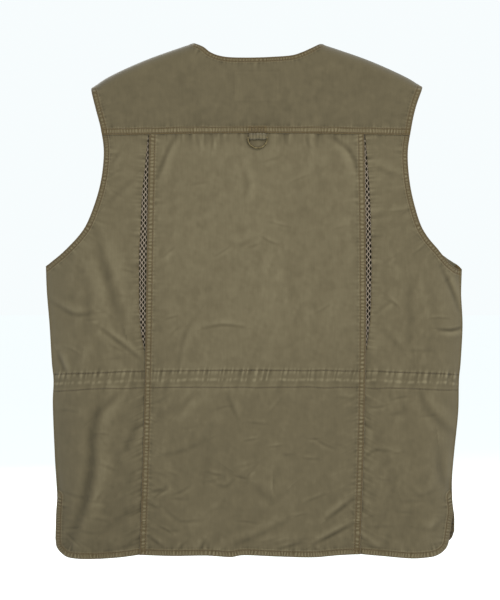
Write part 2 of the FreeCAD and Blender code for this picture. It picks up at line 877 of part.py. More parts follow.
def zip_slider():
    """Two plates with a channel for the teeth, and two ears in front that hold the pull's pin."""
    body = new_body("slider_body")
    plate = rectangle(
        slider_middle - d.slider_half, slider_bottom, slider_middle + d.slider_half, slider_top
    )
    pad_y(body, plate, slider_front, slider_back)
    channel = new_body("channel_body")
    half = d.tooth_depth / 2 + d.slider_room
    slot = d.facing / 2 + d.slider_room
    channel_corners = [
        (d.tooth_tip - 0.6, tape_middle - half),
        (bead_start + d.bead_width + 0.3, tape_middle - half),
        (bead_start + d.bead_width + 0.3, tape_middle - slot),
        (slider_middle + d.slider_half + 1, tape_middle - slot),
        (slider_middle + d.slider_half + 1, tape_middle + slot),
        (bead_start + d.bead_width + 0.3, tape_middle + slot),
        (bead_start + d.bead_width + 0.3, tape_middle + half),
        (d.tooth_tip - 0.6, tape_middle + half),
    ]
    pad_z(channel, channel_corners, slider_bottom - 1, slider_top + 1)
    grooved = cut("slider_grooved", body, channel)
    pieces = [grooved]
    ear = [
        (slider_front, eye_height - d.eye_radius),
        (slider_front, eye_height + d.eye_radius),
        (eye_depth - 1, eye_height + d.eye_radius * 0.7),
        (eye_depth - 1, eye_height - d.eye_radius * 0.7),
    ]
    starts = {"ear_inner": -(EYE_HALF + CLEAR + EAR_WIDTH), "ear_outer": EYE_HALF + CLEAR}
    for name, start in starts.items():
        ear_body = new_body(name)
        pad_x(ear_body, ear, slider_middle + start, slider_middle + start + EAR_WIDTH)
        pieces.append(ear_body)
    pin = doc.addObject("Part::Cylinder", "pull_pin")
    pin.Radius = PIN_RADIUS
    pin.Height = 2 * (EYE_HALF + CLEAR + EAR_WIDTH)
    pin.Placement = FreeCAD.Placement(
        FreeCAD.Vector(0, 0, 0), FreeCAD.Rotation(FreeCAD.Vector(0, 1, 0), 90)
    )
    place(pin, slider_middle - EYE_HALF - CLEAR - EAR_WIDTH, eye_depth, eye_height)
    pieces.append(pin)
    subpart(fuse("slider", pieces), "zip_slider")


def zip_pull():
    """A flat tab that hangs from an eye round the slider's pin, with a long hole near its end."""
    eye = doc.addObject("Part::Cylinder", "pull_eye")
    eye.setExpression("Radius", d.eye_radius.formula)
    eye.Height = 2 * EYE_HALF
    hole = doc.addObject("Part::Cylinder", "pull_eye_hole")
    hole.setExpression("Radius", (d.pin_room + PIN_RADIUS).formula)
    hole.Height = 2 * EYE_HALF + 2
    for cylinder in (eye, hole):
        cylinder.Placement = FreeCAD.Placement(
            FreeCAD.Vector(0, 0, 0), FreeCAD.Rotation(FreeCAD.Vector(0, 1, 0), 90)
        )
    place(eye, slider_middle - EYE_HALF, eye_depth, eye_height)
    place(hole, slider_middle - EYE_HALF - 1, eye_depth, eye_height)
    front, back = eye_depth - d.pull_thick / 2, eye_depth + d.pull_thick / 2
    neck = new_body("pull_neck")
    pad_y(
        neck,
        rectangle(slider_middle - EYE_HALF, eye_height, slider_middle + EYE_HALF, eye_height - 6),
        front,
        back,
    )
    tab = new_body("pull_tab")
    left, right = slider_middle - d.pull_width / 2, slider_middle + d.pull_width / 2
    low = eye_height - d.pull_length
    pad_y(
        tab,
        [
            (slider_middle - EYE_HALF, eye_height - 4),
            (slider_middle + EYE_HALF, eye_height - 4),
            (right, eye_height - 8),
            (right, low, Arc(d.pull_width * 0.55, -1)),
            (left, low),
            (left, eye_height - 8),
        ],
        front,
        back,
    )
    slot_corners = rectangle(slider_middle - 1.2, low + 1.5, slider_middle + 1.2, low + 8)
    slot = prism("pull_slot", slot_corners, front - 1, back + 1)
    whole = fuse("pull_whole", [eye, neck, tab])
    subpart(cut("pull", cut("pull_drilled", whole, hole), slot), "zip_pull")


# ---------------------------------------------------------------- pockets, flaps and snaps


def pocket_kinds():
    """Each pocket's inner edge, width, mouth, height, bulge, flap height and the places of its snaps."""
    return {
        "chest": (
            d.chest_inner, d.chest_width, d.chest_mouth, d.chest_height, d.chest_bulge,
            d.chest_flap_height, [0.5],
        ),
        "lower": (
            d.lower_inner, d.lower_width, d.lower_mouth, d.lower_height, d.lower_bulge,
            d.lower_flap_height, [0.24, 0.76],
        ),
    }


def pocket_bag(kind, word, side, inner, width, mouth, height, bulge):
    """A bellows pocket, open at the top and towards the front panel that it is sewn to."""
    body = new_body(f"{kind}_pocket_body_{word}")
    panel = -d.front_depth
    corner = d.pocket_corner
    outer = [
        (inner, -mouth),
        (inner, -(mouth + height - corner), Arc(corner, 1)),
        (inner + corner, -(mouth + height)),
        (inner + width - corner, -(mouth + height), Arc(corner, 1)),
        (inner + width, -(mouth + height - corner)),
        (inner + width, -mouth),
    ]
    pad_y(body, mirrored(outer, side), panel, panel - bulge)
    t = d.pocket_wall
    hollow = new_body(f"{kind}_pocket_hollow_{word}")
    inner_corner = corner - t
    space = [
        (inner + t, -mouth + 1),
        (inner + t, -(mouth + height - corner), Arc(inner_corner, 1)),
        (inner + corner, -(mouth + height - t)),
        (inner + width - corner, -(mouth + height - t), Arc(inner_corner, 1)),
        (inner + width - t, -(mouth + height - corner)),
        (inner + width - t, -mouth + 1),
    ]
    pad_y(hollow, mirrored(space, side), panel + 1, panel - bulge + t)
    subpart(cut(f"{kind}_pocket_bag_{word}", body, hollow), f"{kind}_pocket_{word}")


def pocket_flap(kind, word, side, inner, width, mouth, bulge, flap_height):
    """A flap sewn above the mouth: a short return over the pocket's edge and the part that hangs."""
    panel = -d.front_depth
    near = panel - bulge - d.flap_room
    far = near - d.flap_cloth
    top = -(mouth - d.flap_rise)
    bend = top - d.flap_rise * 0.75
    sewn = panel - CLEAR - 0.1
    profile = [
        (sewn, top - d.flap_cloth),
        (sewn, top),
        (sewn - d.flap_cloth, top - d.flap_cloth / 2),
        (far, bend),
        (far, top - flap_height),
        (near, top - flap_height),
        (near, bend - d.flap_cloth),
    ]
    body = new_body(f"{kind}_flap_body_{word}")
    edges = (inner - d.flap_side, inner + width + d.flap_side)
    first, last = (edges[0], edges[1]) if side == LEFT else (-edges[1], -edges[0])
    pad_x(body, profile, first, last)
    return body, near, far, top - flap_height


def snaps(kind, word, side, flap_body, centres, near, far, panel_front):
    """Caps and sockets riveted through the flap, and studs on the pocket below them."""
    centres = [(x if side == LEFT else -x, z) for x, z in centres]
    posts = rounds_y(f"{kind}_post_{word}", centres, d.post_radius, near, far)
    cleared = flap_body
    for i, post in enumerate(posts):
        cleared = cut(f"{kind}_flap_cut_{word}_{i + 1}", cleared, post)
    subpart(cleared, f"{kind}_flap_{word}")
    caps = []
    heads = rounds_y(f"{kind}_cap_{word}", centres, d.cap_radius, far, far - d.cap_thick)
    stems = rounds_y(f"{kind}_stem_{word}", centres, d.post_radius, near, far)
    for i, (head, stem) in enumerate(zip(heads, stems)):
        caps.append(fuse(f"{kind}_cap_whole_{word}_{i + 1}", [head, stem]))
    subpart(group(f"{kind}_caps_{word}", caps), f"{kind}_snap_caps_{word}")
    sockets = []
    rings = rounds_y(f"{kind}_ring_{word}", centres, d.socket_radius, near, near + d.socket_thick)
    bores = rounds_y(f"{kind}_bore_{word}", centres, d.socket_bore, near, near + d.socket_thick + 1)
    for i, (ring, bore) in enumerate(zip(rings, bores)):
        sockets.append(cut(f"{kind}_socket_{word}_{i + 1}", ring, bore))
    subpart(group(f"{kind}_sockets_{word}", sockets), f"{kind}_snap_sockets_{word}")
    studs = []
    bases = rounds_y(
        f"{kind}_base_{word}", centres, d.stud_radius, panel_front, panel_front - d.stud_base
    )
    tips = rounds_y(
        f"{kind}_tip_{word}",
        centres,
        d.nipple_radius,
        panel_front - d.stud_base + 0.1,
        panel_front - d.stud_base - d.nipple_height,
    )
    for i, (base, tip) in enumerate(zip(bases, tips)):
        studs.append(fuse(f"{kind}_stud_whole_{word}_{i + 1}", [base, tip]))
    return studs


def pockets():
    for word, side in SIDES.items():
        all_studs = []
        for kind, sizes in pocket_kinds().items():
            inner, width, mouth, height, bulge, flap_height, shares = sizes
            pocket_bag(kind, word, side, inner, width, mouth, height, bulge)
            flap_body, near, far, low = pocket_flap(
                kind, word, side, inner, width, mouth, bulge, flap_height
            )
            centres = [(inner + width * share, low + d.snap_rise) for share in shares]
            panel_front = -d.front_depth - bulge
            all_studs += snaps(kind, word, side, flap_body, centres, near, far, panel_front)
        subpart(group(f"studs_{word}", all_studs), f"pocket_snap_studs_{word}")


# ---------------------------------------------------------------- build, check and write


def check_document():
    doc.recompute()
    failed = [o.Name for o in doc.Objects if {"Invalid", "Error"} & set(o.State)]
    if failed:
        raise RuntimeError(f"these objects failed: {failed}")
    for thing in subparts:
        shape = thing.Shape
        if shape.isNull() or not shape.isValid() or not shape.Solids:
            raise RuntimeError(f"{thing.Label} has no valid solid")


def write_parts():
    os.makedirs("parts", exist_ok=True)
    for thing in subparts:
        thing.Shape.exportStep(f"parts/{thing.Label}.step")
        volume = sum(s.Volume for s in thing.Shape.Solids)
        print(f"{thing.Label}: {len(thing.Shape.Solids)} solid(s), {volume:.0f} mm3")


back_yoke()
back_panels()
vent_meshes()
waist_tunnel(waist_cord())
armhole_bindings()
neck_binding()
hanger_loop()
neck_label()
d_ring()
d_ring_tab()
front_side_panels()
front_panels()
front_facings()
zipper_halves()
zip_ends()
zip_slider()
zip_pull()
pockets()
check_document()
write_parts()
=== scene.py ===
"""A fishing vest of washed olive cotton, hanging from its shoulders with its back towards +Y.

Sizes and places are in millimetres, in the frame of the CAD model, until a mesh is written in metres.
x is towards the wearer's left, z is up, and a cloth's relief is how far it stands out from the smooth
form of the vest.
"""

import math

import bmesh
import bpy
import numpy as np
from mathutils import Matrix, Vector
from mathutils.kdtree import KDTree


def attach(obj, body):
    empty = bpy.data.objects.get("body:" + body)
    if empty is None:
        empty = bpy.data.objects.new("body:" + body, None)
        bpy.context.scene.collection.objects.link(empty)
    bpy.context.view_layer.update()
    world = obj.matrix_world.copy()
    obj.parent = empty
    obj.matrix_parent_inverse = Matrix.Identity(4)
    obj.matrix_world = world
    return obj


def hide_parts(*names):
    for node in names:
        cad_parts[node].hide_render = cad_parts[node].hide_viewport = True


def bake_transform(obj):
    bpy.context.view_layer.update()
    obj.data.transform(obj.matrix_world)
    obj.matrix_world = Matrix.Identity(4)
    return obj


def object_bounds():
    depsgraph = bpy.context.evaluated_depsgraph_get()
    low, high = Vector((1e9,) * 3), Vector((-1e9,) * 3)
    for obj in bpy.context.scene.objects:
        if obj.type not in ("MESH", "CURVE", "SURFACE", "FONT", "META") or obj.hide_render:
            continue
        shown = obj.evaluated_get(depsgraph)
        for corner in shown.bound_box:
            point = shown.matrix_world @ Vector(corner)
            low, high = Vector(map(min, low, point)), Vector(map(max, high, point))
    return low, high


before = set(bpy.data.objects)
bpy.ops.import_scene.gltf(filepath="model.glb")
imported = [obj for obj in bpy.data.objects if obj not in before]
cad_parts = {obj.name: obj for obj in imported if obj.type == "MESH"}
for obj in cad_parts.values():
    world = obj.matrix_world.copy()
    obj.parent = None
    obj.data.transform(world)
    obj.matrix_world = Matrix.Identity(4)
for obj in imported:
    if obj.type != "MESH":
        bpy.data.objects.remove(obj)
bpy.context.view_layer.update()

MM = 0.001
BACK, FRONT = 1, -1
LEFT, RIGHT = 1, -1
SIDES = {"left": LEFT, "right": RIGHT}


# ---------------------------------------------------------------- camera, light and floor


def make_camera():
    camera = bpy.data.objects.new("camera", bpy.data.cameras.new("camera"))
    camera.location = (0.0104, 3.0, -0.3555)
    camera.rotation_euler = (math.radians(90), 0, math.radians(180))
    camera.data.lens = 130.0
    bpy.context.collection.objects.link(camera)
    bpy.context.scene.camera = camera


def area_light(name, place, size, power, colour):
    light = bpy.data.lights.new(name, "AREA")
    light.size = size
    light.energy = power
    light.color = colour
    lamp = bpy.data.objects.new(name, light)
    lamp.location = place
    aim = Vector((0, 0, -0.35)) - Vector(place)
    lamp.rotation_euler = aim.to_track_quat("-Z", "Y").to_euler()
    lamp.visible_camera = False
    bpy.context.collection.objects.link(lamp)


def make_light():
    area_light("key", (-0.55, 1.8, 0.75), 0.9, 26, (1.0, 0.985, 0.96))
    area_light("front_key", (0.9, -1.8, 0.75), 0.9, 28, (1.0, 0.985, 0.96))
    world = bpy.data.worlds.new("world")
    world.use_nodes = True
    sky = world.node_tree.nodes["Background"]
    sky.inputs["Color"].default_value = (0.93, 0.975, 0.985, 1)
    sky.inputs["Strength"].default_value = 1.0
    bpy.context.scene.world = world
    bpy.context.scene.view_settings.view_transform = "Standard"


def make_floor():
    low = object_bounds()[0][2] - 0.09
    mesh = bpy.data.meshes.new("floor")
    far = 60.0
    corners = [(-far, -far, low), (far, -far, low), (far, far, low), (-far, far, low)]
    mesh.from_pydata(corners, [], [(0, 1, 2, 3)])
    floor = bpy.data.objects.new("floor", mesh)
    material = bpy.data.materials.new("floor")
    material.use_nodes = True
    shader = material.node_tree.nodes["Principled BSDF"]
    shader.inputs["Base Color"].default_value = (0.965, 0.985, 0.985, 1)
    shader.inputs["Roughness"].default_value = 1.0
    shader.inputs["Specular IOR Level"].default_value = 0.0
    shader.inputs["Emission Color"].default_value = (1, 1, 1, 1)
    shader.inputs["Emission Strength"].default_value = 0.03
    mesh.materials.append(material)
    bpy.context.collection.objects.link(floor)


# ---------------------------------------------------------------- curves, noise and grids


class Noise:
    """Smooth noise from -1 to 1 over the plane."""

    def __init__(self, seed):
        self.lattice = np.random.default_rng(seed).uniform(-1, 1, (256, 256))

    def __call__(self, x, z):
        i, j = np.floor(x).astype(int), np.floor(z).astype(int)
        u, v = x - i, z - j
        u = u * u * u * (u * (u * 6 - 15) + 10)
        v = v * v * v * (v * (v * 6 - 15) + 10)

        def at(a, b):
            return self.lattice[(i + a) & 255, (j + b) & 255]

        low = at(0, 0) * (1 - u) + at(1, 0) * u
        high = at(0, 1) * (1 - u) + at(1, 1) * u
        return low * (1 - v) + high * v


broad, medium, fine, gathers, ladder = (Noise(seed) for seed in (3, 11, 19, 23, 31))


def run_of(line):
    """How far along a line each of its points is."""
    return np.concatenate([[0], np.cumsum(np.linalg.norm(np.diff(line, axis=0), axis=1))])


def at_shares(line, shares):
    """Points of a line at shares of its length."""
    run = run_of(line)
    return np.column_stack([np.interp(shares * run[-1], run, line[:, k]) for k in range(line.shape[1])])


def respace(line, count):
    """count points, evenly spaced along a line of points."""
    return at_shares(line, np.linspace(0, 1, count))


def spline(points, count=200):
    """count points, evenly spaced along a smooth curve through the given points."""
    p = np.array(points, float)
    ends = np.vstack([2 * p[0] - p[1], p, 2 * p[-1] - p[-2]])
    runs = []
    t = np.linspace(0, 1, 40, endpoint=False)[:, None]
    for a, b, c, d in zip(ends, ends[1:], ends[2:], ends[3:]):
        runs.append(0.5 * (2 * b + (c - a) * t + (2 * a - 5 * b + 4 * c - d) * t**2
                           + (3 * b - a - 3 * c + d) * t**3))
    return respace(np.vstack(runs + [p[-1:]]), count)


def joined(*runs):
    """Runs of points, end to end, as one line."""
    return np.vstack([runs[0]] + [run[1:] for run in runs[1:]])


def x_at(line, z):
    """A steep line's x at a height."""
    order = np.argsort(line[:, 1])
    return np.interp(z, line[order, 1], line[order, 0])


def beside(line, width, inside):
    """The line moved square to itself by a width, towards a place inside."""
    step = np.gradient(line, axis=0)
    step /= np.linalg.norm(step, axis=1, keepdims=True) + 1e-9
    across = np.column_stack([-step[:, 1], step[:, 0]])
    middle = len(line) // 2
    if np.dot(across[middle], np.array(inside) - line[middle]) < 0:
        across = -across
    return line + across * width


def close_to(xz, line, margin):
    """Which places lie in the line's box, widened by a margin."""
    low, high = line.min(axis=0) - margin, line.max(axis=0) + margin
    return np.all((xz > low) & (xz < high), axis=-1)


def patch(bottom, top, left, right, across=None, up=None):
    """A grid of points between four edges. The first index runs up, the second across.

    across and up are each column's and row's share of the way, where they aren't even.
    """
    u = (np.linspace(0, 1, len(bottom)) if across is None else across)[None, :, None]
    v = (np.linspace(0, 1, len(left)) if up is None else up)[:, None, None]
    edges = (1 - v) * bottom[None] + v * top[None] + (1 - u) * left[:, None] + u * right[:, None]
    corners = ((1 - u) * (1 - v) * bottom[0] + u * (1 - v) * bottom[-1]
               + (1 - u) * v * top[0] + u * v * top[-1])
    return edges - corners


def along(xz, line):
    """How far each point is from a line, on which side, and how far along the line its nearest place is."""
    p = xz.reshape(-1, 2)
    best = np.full(len(p), 1e9)
    side = np.zeros(len(p))
    place = np.zeros(len(p))
    run = 0.0
    for a, b in zip(line, line[1:]):
        step = b - a
        length = math.hypot(*step)
        if length < 1e-9:
            continue
        rel = p - a
        t = np.clip(rel @ step / length**2, 0, 1)
        off = rel - t[:, None] * step
        distance = np.hypot(off[:, 0], off[:, 1])
        nearer = distance < best
        best[nearer] = distance[nearer]
        place[nearer] = run + t[nearer] * length
        turned = rel[:, 0] * step[1] - rel[:, 1] * step[0]
        side[nearer] = np.sign(turned[nearer])
        run += length
    shape = xz.shape[:-1]
    return best.reshape(shape), side.reshape(shape), place.reshape(shape)


def hump(d, width):
    return np.exp(-((d / width) ** 2))


def ramp(low, high, value):
    t = np.clip((value - low) / (high - low), 0, 1)
    return t * t * (3 - 2 * t)


# ---------------------------------------------------------------- outline of the vest

DEPTH = {BACK: 19.6, FRONT: 21.5}
PIT = -311.0
SHOULDER_ROUND = 15.0
NECK_POINT = {LEFT: (88.0, 0.0), RIGHT: (-87.0, -1.0)}
SHOULDER = {
    LEFT: [NECK_POINT[LEFT], (153, -23), (204, -46), (230, -63)],
    RIGHT: [NECK_POINT[RIGHT], (-151, -23), (-203, -46), (-228, -61)],
}
ARMHOLE = {
    LEFT: [(230, -63), (222.5, -92), (214.5, -124), (211.5, -157), (217.5, -201), (232, -244),
           (246, -267), (268, -289), (293, -309)],
    RIGHT: [(-228, -61), (-217.5, -90), (-210.5, -123), (-206.5, -157), (-210.5, -201), (-221.5, -244),
            (-233, -267), (-250, -287), (-262.5, -301.5), (-269, -307.4), (-275, -311.5), (-281, -313.5)],
}
SIDE_SEAM = {
    LEFT: [(293, -309), (292, -340), (288, -390), (285, -440), (282.5, -467), (283.5, -500), (281, -565),
           (277.5, -615), (279, -650), (280, -685)],
    RIGHT: [(-281, -313.5), (-282, -350), (-284, -390), (-281.5, -440), (-279, -467), (-278, -510),
            (-272.5, -565), (-268.5, -612), (-270.9, -645), (-268.5, -665), (-265, -689)],
}
NECKLINE = [NECK_POINT[LEFT], (76, -6), (66, -14), (54, -19), (38, -21.5), (10, -22), (-20, -21),
            (-46, -19), (-60, -15), (-73, -9), NECK_POINT[RIGHT]]
SEAM_BOW = 3.0
YOKE_SEAM = -126.0
PRINCESS = {
    LEFT: [(149, -127), (152, -272), (154.5, -424), (157.5, -560), (162.5, -706)],
    RIGHT: [(-146.6, -127), (-147.6, -190), (-148.8, -272), (-148.8, -417), (-146, -560), (-141, -705)],
}
VENT_GAP = {
    LEFT: [(-127, 1.0), (-137, 2.4), (-172, 5.0), (-205, 8.0), (-245, 9.2), (-300, 10.6), (-345, 9.8),
           (-383, 8.2), (-405, 5.4), (-428, 0.6)],
    RIGHT: [(-127, 1.2), (-150, 3.0), (-172, 4.4), (-205, 6.2), (-250, 7.4), (-310, 8.0), (-350, 7.2),
            (-385, 5.6), (-405, 3.6), (-425, 0.6)],
}
VENT_BOTTOM = -426.0
HEM = {
    LEFT: [(162.5, -706), (195, -710), (232, -712), (258, -711), (270, -706), (278, -697), (280, -685)],
    RIGHT: [(-141, -705), (-175, -708), (-212, -711), (-238, -709.7), (-248, -707.5), (-255, -704),
            (-261, -698.5), (-264, -693), (-265, -689)],
}
CENTRE_HEM = [(162.5, -706), (120, -707.5), (70, -707), (38, -709), (18, -706.5), (-30, -708.5),
              (-75, -709.5), (-112, -706.5), (-141, -705)]
WAIST_TOP, WAIST_BOTTOM = -452.5, -475.6
CORD_LINE = -466.0
FRONT_SEAM = -75.0
FRONT_HEM = -698.0
V_POINT = -195.0
FRONT_EDGE = 14.0
FLAT_HALF = 212.0
SIDE_ROUND = 9.0
SLIT_TOP = -628.0
FRONT_ARMHOLE_END = {
    LEFT: [(232, -244), (246, -266), (268, -288), (292, -308)],
    RIGHT: [(-233, -267), (-251, -288), (-259, -294.3), (-268.5, -301.3), (-278, -307.7), (-283, -313.5)],
}
FRONT_SIDE_END = {
    LEFT: [(279, -600), (277.5, -625), (277, -650), (277, -675)],
    RIGHT: [(-269.5, -600), (-269.5, -625), (-271.2, -642), (-272.8, -655), (-272.7, -675)],
}

side_line = {s: spline(SIDE_SEAM[s], 400) for s in (LEFT, RIGHT)}
armhole_line = {s: spline(ARMHOLE[s], 400) for s in (LEFT, RIGHT)}
shoulder_line = {s: spline(SHOULDER[s], 300) for s in (LEFT, RIGHT)}
princess_line = {s: spline(PRINCESS[s], 400) for s in (LEFT, RIGHT)}


def half_width(x, z):
    widths = []
    for side in (LEFT, RIGHT):
        line = side_line[side][::-1]
        widths.append(np.interp(z, line[:, 1], np.abs(line[:, 0])))
    return np.where(x > 0, widths[0], widths[1])


def shoulder_top(x):
    left, right = shoulder_line[LEFT], shoulder_line[RIGHT][::-1]
    return np.where(x > 0, np.interp(x, left[:, 0], left[:, 1]), np.interp(x, right[:, 0], right[:, 1]))


def form(x, z, face):
    """The smooth form's y: flat, then an arc to each side seam, and rounded over the shoulders."""
    depth = DEPTH[face]
    half = half_width(x, z) + 6 * ramp(SLIT_TOP + 6, SLIT_TOP - 22, z)
    reach = half - FLAT_HALF
    radius = (reach**2 + depth**2) / (2 * depth)
    out = np.clip(np.abs(x) - FLAT_HALF, 0, reach)
    arc = depth - radius + np.sqrt(radius**2 - out**2)
    near_edge = np.clip(1 - (half - np.abs(x)) / SIDE_ROUND, 0, 1)
    drop = np.clip((shoulder_top(x) - z) / SHOULDER_ROUND, 0, 1)
    return face * arc * np.sqrt(1 - near_edge**2) * np.sqrt(1 - (1 - drop) ** 2)


# ---------------------------------------------------------------- folds and wrinkles

# Each fold is its path, its width and its depth. Its lit shoulder is on the right of the way along it.
FOLD_DEPTH = 0.62
BACK_FOLDS = [
    ([(112, -129), (124, -150), (138, -186)], 4.0, 1.1),
    ([(-101, -130), (-128, -152), (-140, -184)], 4.0, -1.1),
    ([(61, -129), (63, -149)], 2.4, 0.5),
    ([(84, -129), (80, -146)], 2.6, 0.4),
    ([(-38, -129), (-40, -143)], 2.6, 0.4),
    ([(-66, -130), (-72, -147)], 2.6, 0.45),
    ([(188, -148), (203, -172)], 3.4, 0.6),
    ([(170, -187), (206, -223)], 5.0, 0.8),
    ([(-160, -172), (-196, -187)], 5.0, 0.7),
    ([(-164, -240), (-208, -232)], 5.0, 0.4),
    ([(26, -160), (15, -194), (19, -226)], 5.0, 0.5),
    ([(225, -258), (209, -314), (186, -387)], 9.0, 1.6),
    ([(286, -357), (254, -375), (227, -373)], 4.0, 0.9),
    ([(220, -391), (190, -414), (162, -436)], 3.4, 0.9),
    ([(277, -428), (265, -457)], 3.6, 1.2),
    ([(250, -300), (232, -352), (238, -410)], 9.0, 0.8),
    ([(80, -373), (99, -400), (110, -447)], 4.2, 0.55),
    ([(76, -395), (48, -390), (18, -393)], 2.6, 0.6),
    ([(42, -275), (25, -281), (5, -270)], 4.5, 0.4),
    ([(96, -240), (70, -262)], 6.0, 0.3),
    ([(-40, -300), (-52, -372)], 10.0, 0.5),
    ([(-254, -311), (-268, -340), (-281, -374)], 4.0, 1.5),
    ([(-285, -393), (-268, -397), (-250, -396)], 2.8, 1.3),
    ([(-206, -330), (-214, -410)], 9.0, 0.8),
    ([(-168, -392), (-200, -426)], 5.0, 0.5),
    ([(213, -486), (225, -521), (228, -562), (229, -590), (240, -640), (262, -692)], 9.0, 2.1),
    ([(188, -480), (208, -500), (225, -517)], 6.0, 0.9),
    ([(163, -516), (174, -546), (184, -565)], 7.0, 0.7),
    ([(163, -585), (184, -612)], 6.0, 0.5),
    ([(165, -642), (192, -656), (211, -674)], 6.0, 0.7),
    ([(164, -690), (190, -697)], 3.0, 0.5),
    ([(85, -482), (110, -511)], 5.0, 0.7),
    ([(42, -486), (28, -520)], 4.0, 0.7),
    ([(101, -494), (131, -518)], 6.0, 0.6),
    ([(131, -569), (99, -562), (71, -548)], 4.4, 0.6),
    ([(147, -618), (126, -617)], 3.2, 0.4),
    ([(158, -632), (136, -642)], 3.0, 0.6),
    ([(30, -594), (7, -610), (-20, -631), (-36, -621)], 8.0, 1.1),
    ([(62, -606), (44, -612), (30, -600)], 3.0, 0.5),
    ([(149, -681), (131, -695)], 3.0, 0.8),
    ([(112, -703), (101, -690)], 2.6, 0.6),
    ([(80, -702), (72, -686)], 3.0, 0.6),
    ([(42, -695), (3, -681), (-43, -658)], 5.0, 0.9),
    ([(-29, -698), (-59, -690)], 3.0, 0.9),
    ([(-77, -692), (-104, -678), (-132, -662)], 3.4, 1.3),
    ([(-96, -657), (-123, -636), (-134, -627)], 3.6, 1.2),
    ([(-9, -692), (-75, -684)], 4.0, 0.6),
    ([(-226, -484), (-236, -508), (-269, -540)], 7.0, 1.4),
    ([(-250, -560), (-255, -600), (-268, -616)], 8.0, 1.5),
    ([(-209, -612), (-224, -625), (-244, -618)], 4.0, 0.5),
    ([(-149, -570), (-164, -562), (-188, -565)], 3.0, 0.6),
    ([(-222, -669), (-240, -672), (-260, -656)], 4.6, 0.7),
    ([(-160, -530), (-188, -604)], 10.0, 0.7),
    ([(-146, -690), (-168, -699)], 3.0, 0.6),
]


def fold_relief(xz, folds):
    relief = np.zeros(xz.shape[:-1])
    for path, width, depth in folds:
        line = spline(path, 14)
        near = close_to(xz, line, 5 * width)
        if not near.any():
            continue
        distance, side, place = along(xz[near], line)
        share = np.clip(place / run_of(line)[-1], 0, 1)
        fade = FOLD_DEPTH * np.sin(np.pi * (0.08 + 0.84 * share)) ** 0.8
        offset = distance * side * math.copysign(1, depth)
        valley = -hump(distance, width)
        shoulder = 0.75 * hump(offset - 1.9 * width, 1.7 * width)
        relief[near] += abs(depth) * fade * (valley + shoulder)
    return relief


def washed_relief(xz):
    """Broad undulation and the small creases of washed cotton."""
    x, z = xz[..., 0], xz[..., 1]
    bend = 14 * broad(x / 90, z / 90)
    soft = broad((x + bend) / 74 + 7, z / 96) + 0.38 * medium((x + 0.4 * z) / 37, (z - 0.4 * x + bend) / 43)
    small = 0.20 * medium((x + 0.5 * z + bend) / 14 + 40, (z - 0.5 * x) / 17 + 9)
    small += 0.07 * fine((x - 0.4 * z) / 6.1, (z + 0.4 * x) / 7.3)
    return soft + small


def waist_lines(x):
    """The heights of the tunnel's two rows, which dip and wander a little."""
    dip = (np.abs(x) / 280) ** 3
    wander = gathers(x / 23 + 7, 5.0)
    return WAIST_TOP - 6.4 * dip + 0.5 * wander, WAIST_BOTTOM - 5.4 * dip - 0.9 * wander


def waist_relief(xz):
    """The cloth gathered on the elastic cord in the waist tunnel."""
    x, z = xz[..., 0], xz[..., 1]
    top, bottom = waist_lines(x)
    below = top - z
    height = top - bottom
    lean = x - 0.2 * below + 2.2 * gathers(x / 31 + 60, z / 60)
    tight = gathers(lean / 2.2, z / 38 + 3) + 0.7 * gathers(lean / 3.9 + 90, z / 46)
    loose = gathers(lean / 8.5 + 30, z / 60 + 20) + 0.5 * gathers(lean / 5.0 + 12, z / 40)
    bunch = 1 + 1.1 * hump(np.abs(x) - 268, 12)
    reach = 7.0 + 3.5 * gathers(x / 12 + 44, 0.0)
    under_row = np.where(below > 0, np.exp(-((np.abs(below) / reach) ** 3)), 0)
    over_row = np.where(below <= 0, np.exp(-np.abs(below) / 3.2), 0)
    past_cord = np.where(below > height, np.exp(-np.abs(below - height) / 9.0), ramp(2, height, below))
    relief = bunch * 0.32 * tight * (under_row + over_row)
    relief += 0.16 * loose * (over_row + under_row + past_cord)
    relief += (0.30 + 0.25 * tight * bunch) * hump(below - 12.5 - 0.8 * loose, 2.4)
    relief -= 0.5 * hump(below, 0.8) + 0.3 * hump(below - height, 0.8)
    return relief


def scattered(seed, count, box, depth):
    """Short slack creases strewn over a region, most of them leaning one way or the other."""
    chance = np.random.default_rng(seed)
    creases = []
    for _ in range(count):
        middle = np.array([chance.uniform(box[0], box[1]), chance.uniform(box[2], box[3])])
        lean = chance.normal(0.0, 0.4)
        way = np.array([math.cos(lean), math.sin(lean)]) * chance.uniform(7, 18)
        bow = np.array([-way[1], way[0]]) * chance.uniform(-0.12, 0.12)
        path = [tuple(middle - way), tuple(middle + bow), tuple(middle + way)]
        width = chance.uniform(1.5, 3.0)
        creases.append((path, width, chance.choice([-1, 1]) * depth * chance.uniform(0.4, 1)))
    return creases


SLACK_PLACES = (
    (5, 40, (-135, 150, -700, -490), 0.42),
    (6, 12, (165, 262, -700, -490), 0.38),
    (7, 12, (-255, -150, -700, -490), 0.38),
    (8, 12, (165, 270, -440, -180), 0.3),
    (9, 12, (-265, -160, -440, -180), 0.3),
    (10, 12, (-130, 130, -440, -150), 0.3),
)
for slack_place in SLACK_PLACES:
    BACK_FOLDS += scattered(*slack_place)


def back_relief(xz):
    return fold_relief(xz, BACK_FOLDS) + washed_relief(xz) * settled(xz) + waist_relief(xz)


def settled(xz):
    """How free the cloth is to undulate: little near the sewn edges."""
    x, z = xz[..., 0], xz[..., 1]
    near_side = ramp(0, 40, half_width(x, z) - np.abs(x))
    near_top = ramp(0, 30, shoulder_top(x) - z)
    return (0.25 + 0.75 * near_side) * near_top


def sharp(noise, width):
    """Thin valleys where a noise passes zero."""
    return -np.clip(1 - np.abs(noise) / width, 0, 1) ** 1.5


